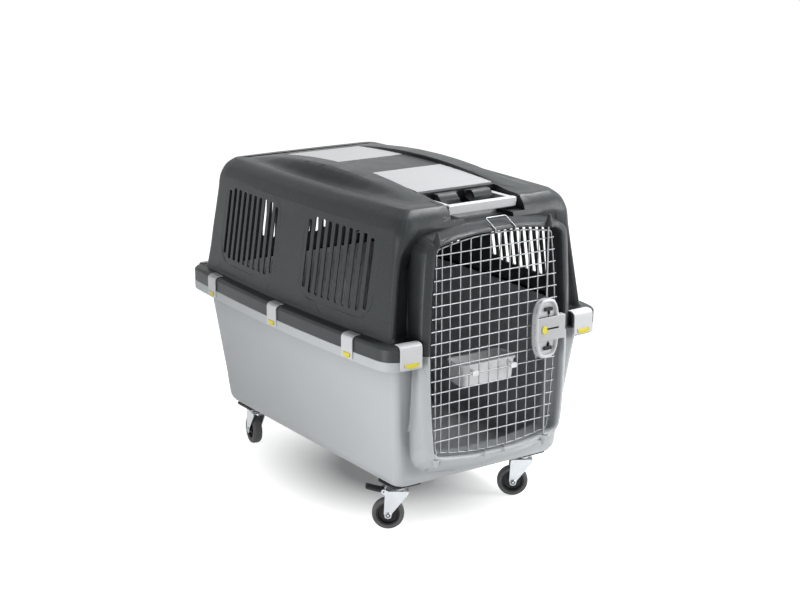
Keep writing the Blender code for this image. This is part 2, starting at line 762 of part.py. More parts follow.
def handle_fittings():
    """The handle's well joined under the front of the roof, then its openings cut."""
    above = ROOF_Z + 0.03
    inside = [shoulder_point(angle) for angle in (30, 45, 60, 75)]
    front = [(-half_y + 0.006, z - 0.001) for _, half_y, z in inside]
    well_low = WELL_FLOOR_Z - GRIP_SLOT_DEPTH - SHELL_WALL
    well_back = WELL_START - WELL_WALL
    low_half_y = shoulder_point(12)[1]
    profile = [(-low_half_y + 0.005, well_low)] + front
    profile += [
        (-CHANNEL_HALF_LENGTH - 0.012, band_height(CHANNEL_HALF_LENGTH + 0.012) - 0.003),
        (-CHANNEL_HALF_LENGTH - 0.001, band_height(CHANNEL_HALF_LENGTH) - 0.003),
        (-CHANNEL_HALF_LENGTH + 0.001, channel_floor(CHANNEL_HALF_LENGTH) - 0.001),
        (-well_back, channel_floor(well_back) - 0.002), (-well_back, well_low),
    ]
    well_half = CHANNEL_HALF_WIDTH + 0.005
    well = prism_mesh("well", profile, -well_half, well_half, "X")
    notch = box_mesh(
        "notch", (-WELL_HALF_WIDTH, -RIM_HALF_LENGTH, WELL_FLOOR_Z), (WELL_HALF_WIDTH, -WELL_START, above),
    )
    grip = box_mesh(
        "grip", (-GRIP_SLOT_HALF_WIDTH, -RIM_HALF_LENGTH, WELL_FLOOR_Z - GRIP_SLOT_DEPTH),
        (GRIP_SLOT_HALF_WIDTH, -GRIP_SLOT_START, WELL_FLOOR_Z + 0.001),
    )
    reach = HANDLE_HALF_WIDTH + HANDLE_PIN_REACH + WELL_HALF_WIDTH - HANDLE_HALF_WIDTH + TOUCH_GAP
    pivot = rod_mesh(
        "pivot", (-reach, -HANDLE_PIVOT_Y, HANDLE_PIVOT_Z), (reach, -HANDLE_PIVOT_Y, HANDLE_PIVOT_Z),
        HANDLE_PIN_RADIUS + SLIDE_GAP,
    )
    return [well], [notch, grip, pivot]


def block_mesh(side):
    """One of the two finger blocks in front of a lid, with its scooped inner corner."""
    top = ROOF_Z - BLOCK_DROP
    back = -WELL_START - EMBED
    front = -WELL_START - BLOCK_LENGTH
    low = WELL_FLOOR_Z - EMBED
    outline = [
        (back - 0.004, low), (back - 0.004, top - 0.004), (back - 0.008, top),
        (front + 0.012, top), (front, top - 0.012), (front, low),
    ]
    blank = prism_mesh("blank", outline, side * BLOCK_INNER, side * BLOCK_OUTER, "X")
    bm = bmesh.new()
    bm.from_mesh(blank)
    bmesh.ops.recalc_face_normals(bm, faces=bm.faces)
    bm.to_mesh(blank)
    bm.free()
    scoop = rod_mesh(
        "scoop", (0.0, -WELL_START - BLOCK_LENGTH / 2, top + 0.002),
        (0.0, -WELL_START - BLOCK_LENGTH - 0.01, top - 0.010), BLOCK_INNER + 0.010, sides=16,
    )
    return joined("finger_block", blank, [scoop], "DIFFERENCE")


def boss_mesh(name, x, depth, upper):
    """The pointed socket boss on the surround that takes the end of an upright door wire."""
    sign = 1 if upper else -1
    start = DOORWAY_Z + sign * (doorway_top(x) + 0.0015)
    height = UPPER_BOSS_HEIGHT if upper else LOWER_BOSS_HEIGHT
    return rod_mesh(
        name, (x, -depth, start), (x, -depth, start + sign * height), BOSS_RADIUS,
        sides=12, end_radius=BOSS_TIP_RADIUS,
    )


def socket_cutter(name, x, depth, radius, upper):
    sign = 1 if upper else -1
    edge = DOORWAY_Z + sign * doorway_top(x)
    return rod_mesh(
        name, (x, -depth, edge - sign * 0.02), (x, -depth, edge + sign * SOCKET_DEPTH), radius + SOCKET_GAP,
    )


def latch_rod_depth():
    return GRID_FRONT + TOUCH_GAP + LATCH_ROD_RADIUS


def door_surround(upper):
    """Half of the surround with its two pointed bosses and the sockets drilled in them."""
    pin = FRAME_WIRE / 2
    sign = "upper" if upper else "lower"
    bosses = [
        boss_mesh(sign + "_hinge_boss", HINGE_X, HINGE_DEPTH, upper),
        boss_mesh(sign + "_latch_boss", LATCH_ROD_X, latch_rod_depth() + 0.002, upper),
    ]
    sockets = [
        socket_cutter(sign + "_hinge_socket", HINGE_X, HINGE_DEPTH, pin, upper),
        socket_cutter(sign + "_latch_socket", LATCH_ROD_X, latch_rod_depth(), LATCH_ROD_RADIUS, upper),
    ]
    frame = joined(sign + "_surround", surround_mesh(sign + "_surround", upper), bosses)
    return joined(sign + "_surround", frame, sockets, "DIFFERENCE")


def apply_steps(item, unions, cuts):
    for mesh in unions:
        boolean(item, guide(mesh.name, mesh), "UNION")
    for mesh in cuts:
        boolean(item, guide(mesh.name, mesh), "DIFFERENCE")


def doorway_plug(name):
    """Cuts the wall behind the surround, so that only its own reveal is left."""
    loop = surround_loop(0.012, 0.006)
    return prism_mesh(name, loop, -RIM_HALF_LENGTH - CUT_PAST, -SURROUND_BACK + CUT_PAST, "Y")


def rim_gate(name, low, high, back):
    """Ends the rim at the sides of the surround."""
    half = DOORWAY_HALF_WIDTH + SURROUND_SIDE - 0.0012
    return box_mesh(name, (-half, -RIM_HALF_LENGTH - CUT_PAST, low), (half, -back, high))


def upper_shell(material):
    """Dark upper half: rim, leaning walls, rounded shoulders and the banded roof."""
    foot = SPLIT_Z + RIM_HEIGHT
    rings = [
        rim_ring(0.0, SPLIT_Z + TOUCH_GAP),
        rim_ring(0.0, foot - 0.007),
        rim_ring(0.0030, foot - 0.0022),
        rim_ring(0.0095, foot),
        wall_ring(UPPER_FOOT_HALF_WIDTH + 0.004, UPPER_FOOT_HALF_LENGTH + 0.004, foot + 0.0006, RECESS_DEPTH),
        wall_ring(UPPER_FOOT_HALF_WIDTH - 0.0007, UPPER_FOOT_HALF_LENGTH - 0.0005, foot + 0.006, RECESS_DEPTH),
    ]
    for height, recess in UPPER_RECESS[:-1]:
        half_x, half_y = wall_lean(height)
        rings.append(wall_ring(half_x, half_y, SPLIT_Z + height, RECESS_DEPTH * recess))
    for angle in (14, 40, 66):
        half_x, half_y, z = shoulder_point(angle)
        rings.append(wall_ring(half_x, half_y, z))
    for half_x, half_y in (
        (RIDGE_HALF_WIDTH, RIDGE_HALF_LENGTH),
        (BAND_FOOT_HALF_WIDTH, RIDGE_HALF_LENGTH - 0.014),
        (BAND_HALF_WIDTH, RIDGE_HALF_LENGTH - 0.026),
        (CHANNEL_HALF_WIDTH + 0.001, CHANNEL_HALF_LENGTH + 0.001),
    ):
        corner = 0.018 if half_x > CHANNEL_HALF_WIDTH + 0.002 else 0.002
        rings.append(shell_ring(half_x, half_y, 0.0, corner, 0.0, 0.0, 0.0, roof_height))
    rings.append(shell_ring(
        CHANNEL_HALF_WIDTH, CHANNEL_HALF_LENGTH, 0.0, 0.002, 0.0, 0.0, 0.0, lambda x, y: channel_floor(y),
    ))
    bm = bmesh.new()
    rows = skin(bm, rings)
    cap(bm, rows[-1], up=True)
    item = part("upper_shell", mesh_from(bm, "upper_shell"), material)
    solid = item.modifiers.new("wall", "SOLIDIFY")
    solid.thickness = SHELL_WALL
    solid.offset = -1.0
    solid.use_even_offset = True
    boolean(item, guide("upper_doorway", doorway_plug("upper_doorway")), "DIFFERENCE")
    gate = rim_gate("upper_rim_gate", SPLIT_Z - 0.01, foot + 0.004, UPPER_FOOT_HALF_LENGTH - 0.022)
    boolean(item, guide("upper_rim_gate", gate), "DIFFERENCE")
    trays, cuts = lid_fittings()
    wells, openings = handle_fittings()
    unions = [door_surround(True)] + wells
    unions += trays + [mirror_y(mesh, "rear_" + mesh.name) for mesh in trays]
    cuts += [mirror_y(mesh, "rear_" + mesh.name) for mesh in cuts]
    apply_steps(item, unions, cuts + openings)
    scoop_y = LID_START + LID_LENGTH + 0.004
    scoop_z = lid_top(scoop_y) + FINGER_SCOOP_RADIUS * 0.45
    scoop = rod_mesh(
        "finger_scoop", (-FINGER_SCOOP_RADIUS, scoop_y, scoop_z), (FINGER_SCOOP_RADIUS, scoop_y, scoop_z),
        FINGER_SCOOP_RADIUS, sides=16,
    )
    blocks = [block_mesh(side) for side in (-1, 1)]
    apply_steps(item, blocks, [side_vent_cutter(), rear_vent_cutter(), scoop])
    return item


def lower_shell(material):
    """Light lower half: tapered tub, downturned flange and the tongue inside the upper rim."""
    flange = SPLIT_Z - SHELL_WALL
    height = LOWER_HEIGHT - SHELL_WALL

    def wall(z, inset, depth):
        half_x, half_y, bow = lower_lean(z)
        return wall_ring(half_x, half_y, BASE_Z + z, LOWER_RECESS_DEPTH * depth, inset, bow)

    def rounding(inset, angles):
        radius = BASE_ROUNDING - inset
        rings = []
        for angle in angles:
            turn = math.radians(angle)
            fall = BASE_ROUNDING - inset - radius * math.cos(turn)
            z = BASE_Z + BASE_ROUNDING - radius * math.sin(turn)
            half_x = BASE_HALF_WIDTH - inset - fall
            half_y = BASE_HALF_LENGTH - inset - fall
            rings.append(wall_ring(half_x, half_y, z, bow=0.0))
        return rings

    levels = LOWER_RECESS + ((height, 1.0),)
    tongue = (LOWER_TOP_HALF_WIDTH + 0.003, LOWER_TOP_HALF_LENGTH + 0.003)
    top = SPLIT_Z + TONGUE_HEIGHT
    rings = rounding(0.0, (90, 50, 15))
    rings += [wall(z, 0.0, depth) for z, depth in levels]
    rings += [
        rim_ring(SHELL_WALL, flange), rim_ring(SHELL_WALL, SPLIT_Z - LIP_HEIGHT),
        rim_ring(0.0, SPLIT_Z - LIP_HEIGHT), rim_ring(0.0, SPLIT_Z - TOUCH_GAP),
        wall_ring(*tongue, SPLIT_Z - TOUCH_GAP, LOWER_RECESS_DEPTH),
        wall_ring(*tongue, top, LOWER_RECESS_DEPTH),
        wall_ring(*tongue, top, LOWER_RECESS_DEPTH, SHELL_WALL),
    ]
    rings += [wall(z, SHELL_WALL, depth) for z, depth in reversed(levels)]
    rings += rounding(SHELL_WALL, (15, 50, 90))
    bm = bmesh.new()
    rows = skin(bm, rings)
    cap(bm, rows[0], up=False)
    cap(bm, rows[-1], up=True)
    item = part("lower_shell", mesh_from(bm, "lower_shell"), material)
    boolean(item, guide("lower_doorway", doorway_plug("lower_doorway")), "DIFFERENCE")
    gate = rim_gate("lower_rim_gate", SPLIT_Z - LIP_HEIGHT - 0.002, SPLIT_Z + 0.01, LOWER_TOP_HALF_LENGTH - 0.020)
    boolean(item, guide("lower_rim_gate", gate), "DIFFERENCE")
    half = DOORWAY_HALF_WIDTH + SURROUND_SIDE + 0.002
    tongue_gate = box_mesh(
        "tongue_gate", (-half, -RIM_HALF_LENGTH - CUT_PAST, SPLIT_Z - TOUCH_GAP),
        (half, -SURROUND_BACK + CUT_PAST, top + 0.01),
    )
    boolean(item, guide("tongue_gate", tongue_gate), "DIFFERENCE")
    apply_steps(item, [door_surround(False)], [])
    return item


def door_outline(grow):
    """The door's border in (x, z above the doorway's middle)."""
    loop = bowed_loop(
        DOOR_HALF_WIDTH + grow, DOORWAY_HALF_HEIGHT - DOOR_EDGE_GAP - FRAME_WIRE / 2 + grow,
        DOORWAY_CORNER - DOOR_EDGE_GAP, DOOR_BULGE_SIDE, DOORWAY_BULGE_END, side_steps=8,
        shares=(1.0, 0.68, 0.35, 0.0), corner_steps=3,
    )
    return loop


def border_half_height(x):
    half = DOORWAY_HALF_HEIGHT - DOOR_EDGE_GAP - FRAME_WIRE / 2
    return half - DOORWAY_BULGE_END * (x / DOOR_HALF_WIDTH) ** 2


def border_half_width(z):
    half_height = DOORWAY_HALF_HEIGHT - DOOR_EDGE_GAP
    return DOOR_HALF_WIDTH - DOOR_BULGE_SIDE * (z / half_height) ** 2


def door_frame_mesh():
    """Border wire, hinge side with two pins cranked forward, stop loop and sill hooks, welded into one."""
    depth = -DOOR_PLANE
    wire = FRAME_WIRE / 2
    loop = door_outline(0.0)
    right = [(x, z) for x, z in loop if x > HINGE_X + 0.02]
    top = sorted([point for point in right if point[1] > 0], key=lambda p: math.atan2(p[1], p[0] - HINGE_X))
    low = sorted([point for point in right if point[1] <= 0], key=lambda p: math.atan2(p[1], p[0] - HINGE_X))
    end_height = border_half_height(HINGE_X)
    route = [(HINGE_X, -end_height)] + low + top + [(HINGE_X, end_height)]
    border = tube_mesh("border", [(x, depth, DOORWAY_Z + z) for x, z in route], wire)
    reach = doorway_top(HINGE_X) + HINGE_PIN_REACH
    side = rod_mesh(
        "hinge_side", (HINGE_X, depth, DOORWAY_Z - end_height - TOUCH_GAP),
        (HINGE_X, depth, DOORWAY_Z + end_height + TOUCH_GAP), wire, sides=8,
    )
    pieces = [side]
    for sign in (-1, 1):
        crank = [
            (HINGE_X, depth, DOORWAY_Z + sign * (end_height - HINGE_CRANK)),
            (HINGE_X, -HINGE_DEPTH, DOORWAY_Z + sign * (end_height + wire)),
            (HINGE_X, -HINGE_DEPTH, DOORWAY_Z + sign * reach),
        ]
        pieces.append(tube_mesh("hinge_pin", crank, wire))
    front = -SURROUND_FRONT - 0.0012 - wire
    height = border_half_height(0.0)
    ledge = DOORWAY_HALF_HEIGHT + SURROUND_HOOD
    loop_points = [
        (LOOP_LEFT, depth, DOORWAY_Z + height - 0.0002),
        (LOOP_LEFT, front, DOORWAY_Z + height + 0.004),
        (LOOP_LEFT, front, DOORWAY_Z + height + 0.011),
        (LOOP_LEFT, -SHOULDER_HALF_LENGTH - 0.006, DOORWAY_Z + ledge + 0.006),
        (LOOP_RIGHT, -SHOULDER_HALF_LENGTH - 0.006, DOORWAY_Z + ledge + 0.006),
        (LOOP_RIGHT, front, DOORWAY_Z + height + 0.011),
        (LOOP_RIGHT, front, DOORWAY_Z + height + 0.004),
        (LOOP_RIGHT, depth, DOORWAY_Z + height - 0.0002),
    ]
    pieces.append(tube_mesh("stop_loop", loop_points, wire * 0.75))
    for place in HOOK_POSITIONS:
        base = border_half_height(place)
        hook = [
            (place, depth, DOORWAY_Z - base), (place, front, DOORWAY_Z - base - 0.003),
            (place, front, DOORWAY_Z - base - 0.016),
        ]
        pieces.append(tube_mesh("sill_hook", hook, wire * 0.75))
    return joined("door_frame", border, pieces)


def door_grille_mesh():
    """Crossed wires: uprights behind, level wires in front, pressed into each other where welded."""
    back = DOOR_PLANE + FRAME_WIRE / 2 + TOUCH_GAP
    upright_front = back + GRID_WIRE
    level_back = upright_front - WIRE_WELD
    half = GRID_WIRE / 2
    columns = [HINGE_WIRE_X] + [GRID_FIRST_X + k * GRID_PITCH_X for k in range(GRID_COLUMNS)]
    uprights = []
    for x in columns:
        reach = border_half_height(x) + half * 0.6
        low = (x - half, -upright_front, DOORWAY_Z - reach)
        uprights.append(box_mesh("upright", low, (x + half, -back, DOORWAY_Z + reach)))
    levels = []
    for k in range(GRID_ROWS):
        z = GRID_FIRST_Z + k * GRID_PITCH_Z
        right = border_half_width(z) + half * 0.6
        left = WIRE_END_GAP - min(doorway_side(z - half), doorway_side(z + half))
        low = (left, -level_back - GRID_WIRE, DOORWAY_Z + z - half)
        levels.append(box_mesh("level", low, (right, -level_back, DOORWAY_Z + z + half)))
    return joined("door_grille", merge_meshes("uprights", uprights), [merge_meshes("levels", levels)])


def latch_meshes():
    """Housing, two thumb tabs, two rods and the sliding lock, in the door's closed place."""
    back = -GRID_FRONT - TOUCH_GAP
    front = back - LATCH_DEPTH
    middle = DOORWAY_Z + LATCH_Z
    steps = 28
    oval = []
    inner = []
    for k in range(steps):
        turn = 2 * math.pi * k / steps
        squeeze = 0.62
        cos = math.copysign(abs(math.cos(turn)) ** squeeze, math.cos(turn))
        sin = math.copysign(abs(math.sin(turn)) ** 0.78, math.sin(turn))
        oval.append((LATCH_X + LATCH_HALF_WIDTH * cos, middle + LATCH_HALF_HEIGHT * sin))
        inner.append((
            LATCH_X + (LATCH_HALF_WIDTH - LATCH_RIM) * cos, middle + (LATCH_HALF_HEIGHT - LATCH_RIM) * sin,
        ))
    bar = LATCH_BAR_HALF_HEIGHT
    floor = front + LATCH_POCKET
    housing = prism_mesh("latch_housing", oval, front, back, "Y")
    strap = box_mesh(
        "latch_bar", (LATCH_X, front - 0.0004, middle - bar), (LATCH_BAR_RIGHT, back - 0.0002, middle + bar), 0.001,
    )
    pocket = prism_mesh("pocket", inner, front - 0.01, floor, "Y")
    keep = box_mesh("keep", (0.0, front - 0.02, middle - bar), (LATCH_BAR_RIGHT, 0.0, middle + bar))
    pocket = joined("pocket", pocket, [keep], "DIFFERENCE")
    groove_half = LATCH_ROD_RADIUS + SLIDE_GAP
    groove = box_mesh(
        "groove", (LATCH_ROD_X - groove_half, back - LATCH_GROOVE_DEPTH, middle - 0.2),
        (LATCH_ROD_X + groove_half, back + 0.01, middle + 0.2),
    )
    window_half = LATCH_TRAVEL + TAB_HEIGHT / 2 + 0.001
    windows = [
        box_mesh(
            "window",
            (LATCH_ROD_X - groove_half, front - 0.01, middle + side * TAB_OFFSET - window_half),
            (LATCH_ROD_X + groove_half, back, middle + side * TAB_OFFSET + window_half),
        )
        for side in (-1, 1)
    ]
    windows = [joined("window", mesh, [box_mesh("keep", (0, -1, middle - bar), (1, 0, middle + bar))], "DIFFERENCE")
               for mesh in windows]
    slot = box_mesh(
        "lock_slot", (LOCK_SLOT_LEFT - SLIDE_GAP, front - 0.01, middle - LOCK_SLOT_HALF_HEIGHT),
        (LOCK_SLOT_RIGHT, front + LOCK_SLOT_DEPTH, middle + LOCK_SLOT_HALF_HEIGHT),
    )
    housing = joined("latch_housing", housing, [strap])
    housing = joined("latch_housing", housing, [pocket, groove] + windows + [slot], "DIFFERENCE")
    rods = []
    tabs = []
    depth = latch_rod_depth()
    for side in (-1, 1):
        centre = middle + side * TAB_OFFSET
        label = "top" if side > 0 else "bottom"
        tip = DOORWAY_Z + side * (doorway_top(LATCH_ROD_X) - 0.0008)
        rods.append(rod_mesh(
            "latch_" + label + "_rod", (LATCH_ROD_X, -depth, centre + side * (TAB_HEIGHT / 2 + TOUCH_GAP)),
            (LATCH_ROD_X, -depth, tip), LATCH_ROD_RADIUS, sides=8,
        ))
        outer = box_mesh(
            "tab", (LATCH_ROD_X - TAB_WIDTH / 2, front + 0.001, centre - TAB_HEIGHT / 2),
            (LATCH_ROD_X + TAB_WIDTH / 2 - 0.006, floor - TOUCH_GAP, centre + TAB_HEIGHT / 2), 0.0008,
        )
        neck = box_mesh(
            "neck", (LATCH_ROD_X - TAB_NECK / 2, floor - 0.002, centre - TAB_HEIGHT / 2 + 0.0005),
            (LATCH_ROD_X + TAB_NECK / 2, back - 0.0008, centre + TAB_HEIGHT / 2 - 0.0001),
        )
        stem = sorted((centre - side * (TAB_HEIGHT / 2 - 0.002), centre - side * (TAB_HEIGHT / 2 + 0.004)))
        guide_stem = box_mesh(
            "stem", (LATCH_ROD_X - 0.0015, front + 0.0022, stem[0]), (LATCH_ROD_X + 0.0015, floor - 0.001, stem[1]),
        )
        tabs.append(joined("latch_" + label + "_tab", outer, [neck, guide_stem]))
    left = LOCK_SLOT_LEFT
    half_w = LOCK_BUTTON_HALF_WIDTH
    half_h = LOCK_BUTTON_HALF_HEIGHT
    face = [
        (left + half_w + half_w * math.cos(2 * math.pi * k / 12), middle + half_h * math.sin(2 * math.pi * k / 12))
        for k in range(12)
    ]
    cap_front = front - 0.0004 - TOUCH_GAP
    button = prism_mesh("button", face, cap_front - LOCK_BUTTON_PROUD, cap_front, "Y")
    key_half = LOCK_SLOT_HALF_HEIGHT - SLIDE_GAP
    key = box_mesh(
        "key", (left + 0.002, cap_front - EMBED, middle - key_half),
        (left + 0.012, front + LOCK_SLOT_DEPTH - SLIDE_GAP, middle + key_half),
    )
    return housing, rods, tabs, joined("latch_lock_button", button, [key])


def bowl_mesh():
    """Clear tray: tapered, fluted, with a rim and two T hooks that hang on a level wire."""
    column = [GRID_FIRST_X + (k + 0.5) * GRID_PITCH_X for k in BOWL_HOOK_COLUMNS]
    centre_x = sum(column) / len(column)
    front = DOOR_PLANE - FRAME_WIRE / 2 - BOWL_DOOR_GAP
    wire_z = DOORWAY_Z + GRID_FIRST_Z + BOWL_WIRE_ROW * GRID_PITCH_Z
    arm_low = wire_z + GRID_WIRE / 2 + TOUCH_GAP
    top = arm_low + BOWL_HOOK_BAR + 0.011
    centre_y = -(front - BOWL_DEPTH / 2)

    def ring(inset, drop, flutes=0.0):
        half_u = BOWL_HALF_WIDTH - inset
        half_v = BOWL_DEPTH / 2 - inset
        loop = bowed_loop(half_u, half_v, max(BOWL_CORNER - inset, 0.004), 0.0, 0.0, side_steps=4,
                          shares=(1.0, 0.8, 0.6, 0.4, 0.2, 0.0), corner_steps=3)
        points = []
        for k, (u, v) in enumerate(loop):
            rib = flutes if k % 2 and abs(v) > half_v * 0.99 else 0.0
            points.append(Vector((centre_x + u, centre_y + v - math.copysign(rib, v), top - drop)))
        return points

    base = BOWL_HEIGHT
    rings = [
        ring(BOWL_TAPER + 0.006, base), ring(BOWL_TAPER, base - 0.006, BOWL_RIB_DEPTH),
        ring(BOWL_RIM + 0.002, 0.021, BOWL_RIB_DEPTH), ring(BOWL_RIM + 0.0017, 0.018), ring(BOWL_RIM, 0.006),
        ring(0.0, 0.005), ring(0.0, 0.0),
        ring(BOWL_RIM + BOWL_WALL, 0.0), ring(BOWL_RIM + BOWL_WALL, 0.008),
        ring(BOWL_TAPER + BOWL_WALL, base - 0.006),
        ring(BOWL_TAPER + BOWL_WALL + 0.003, base - BOWL_WALL),
    ]
    bm = bmesh.new()
    rows = skin(bm, rings)
    bm.faces.new(list(reversed(rows[0])))
    bm.faces.new(rows[-1])
    tray = mesh_from(bm, "tray_body")
    hooks = []
    for x in column:
        tip = -GRID_FRONT - TOUCH_GAP - 0.0022
        arm = box_mesh(
            "arm", (x - BOWL_HOOK_WIDTH / 2, tip, arm_low),
            (x + BOWL_HOOK_WIDTH / 2, -(front - BOWL_RIM - 0.0022), arm_low + BOWL_HOOK_BAR),
        )
        bar = box_mesh(
            "bar", (x - BOWL_HOOK_WIDTH, tip - 0.0001, arm_low - 0.007),
            (x + BOWL_HOOK_WIDTH, tip + 0.0021, arm_low + BOWL_HOOK_BAR - 0.0007),
        )
        hooks += [arm, bar]
    return joined("food_bowl", tray, hooks)


def lid_mesh():
    """Curved lid in the channel, in its pivot's frame: origin at the inner edge's axis."""
    y_axis, z_axis = lid_axis()
    steps = 6
    end = LID_START + LID_LENGTH
    places = [LID_START + (end - LID_START) * k / steps for k in range(steps + 1)]
    top = [(-y + y_axis, lid_top(y) - z_axis) for y in places]
    low = [(y, z - LID_THICKNESS) for y, z in reversed(top)]
    mesh = prism_mesh("lid", top + low, -LID_HALF_WIDTH, LID_HALF_WIDTH, "X")
    bm = bmesh.new()
    bm.from_mesh(mesh)
    ends = [
        edge for edge in bm.edges
        if abs(edge.verts[0].co.x - edge.verts[1].co.x) > 0.1 and abs(edge.verts[0].co.y) < 0.004
    ]
    bmesh.ops.bevel(bm, geom=ends, offset=0.0008, segments=1, affect="EDGES")
    bm.to_mesh(mesh)
    bm.free()
    return mesh


def lid_axis():
    return LID_START + LID_THICKNESS / 2, lid_top(LID_START) - LID_THICKNESS / 2


def handle_mesh():
    """U handle in its pivot's frame, reaching towards -Y, with two pivot pins."""
    reach = HANDLE_FRONT - HANDLE_PIVOT_Y
    half = HANDLE_HALF_WIDTH
    end = HANDLE_THICKNESS / 2
    inner = half - HANDLE_LEG
    outline = [
        (-half, end), (-inner, end), (-inner, -reach + HANDLE_BAR), (inner, -reach + HANDLE_BAR), (inner, end),
        (half, end), (half, -reach), (-half, -reach),
    ]
    frame = prism_mesh("handle_frame", outline, -HANDLE_THICKNESS / 2, HANDLE_THICKNESS / 2, "Z")
    low = -HANDLE_BAR_HEIGHT + HANDLE_THICKNESS / 2 + 0.002
    bar = box_mesh("handle_bar", (-half + 0.0002, -reach - 0.0002, low),
                   (half - 0.0002, -reach + HANDLE_BAR - 0.0002, HANDLE_THICKNESS / 2 + 0.002), 0.002)
    pin = WELL_HALF_WIDTH + HANDLE_PIN_REACH
    pins = rod_mesh("handle_pins", (-pin, 0.0, 0.0), (-inner - 0.002, 0.0, 0.0), HANDLE_PIN_RADIUS, sides=8)
    other = rod_mesh("handle_pins", (inner + 0.002, 0.0, 0.0), (pin, 0.0, 0.0), HANDLE_PIN_RADIUS, sides=8)
    return joined("handle", frame, [bar, pins, other])


def clip_axis():
    """Pivot of a clip: distance out from the rim's face and height over the split."""
    return 0.0028, -CLIP_BOTTOM + 0.0015


def clip_meshes(width, label):
    """A clip and its sliding lock, in the clip's pivot frame: +X out of the rim, +Z up, along Y."""
    out, rise = clip_axis()
    gap = SLIDE_GAP
    top = RIM_HEIGHT
    outer = gap + CLIP_THICKNESS
    outline = [
        (gap + 0.001, -CLIP_BOTTOM), (outer, -CLIP_BOTTOM), (outer, top - 0.009), (outer - 0.0018, top - 0.002),
        (-0.0035, top + CLIP_TOP_THICKNESS - 0.0004), (-0.010, top + gap + CLIP_TOP_THICKNESS),
        (-CLIP_TOP_REACH, top + gap + CLIP_TOP_THICKNESS), (-CLIP_TOP_REACH, top + gap), (-0.0095, top + gap),
        (-0.0028, top - 0.0022 + gap), (gap, top - 0.007), (gap, -CLIP_BOTTOM + 0.0025),
    ]
    local = [(x - out, z - rise) for x, z in outline]
    body = prism_mesh("clip_body", local, -width / 2, width / 2, "Y")
    bm = bmesh.new()
    bm.from_mesh(body)
    bmesh.ops.recalc_face_normals(bm, faces=bm.faces)
    bm.to_mesh(body)
    bm.free()
    lock_half = width * LOCK_SHARE / 2
    low = -LOCK_LOW - rise
    high = low + LOCK_HEIGHT
    slot_half = lock_half + LOCK_TRAVEL + SLIDE_GAP
    slot = box_mesh("lock_slot", (-0.02, -slot_half, low), (0.02, slot_half, high))
    clip = joined(label + "_clip", body, [slot], "DIFFERENCE")
    steps = 8
    level = high - SLIDE_GAP
    depth = LOCK_HEIGHT - 2 * SLIDE_GAP
    half_moon = [(lock_half, level), (-lock_half, level)]
    half_moon += [
        (-lock_half * math.cos(math.pi * k / steps), level - 0.002 - (depth - 0.002) * math.sin(math.pi * k / steps))
        for k in range(steps + 1)
    ]
    points = [(y, z) for y, z in half_moon]
    lock = prism_mesh(label + "_lock", points, gap + 0.0004 - out, outer + LOCK_PROUD - out, "X")
    return clip, lock


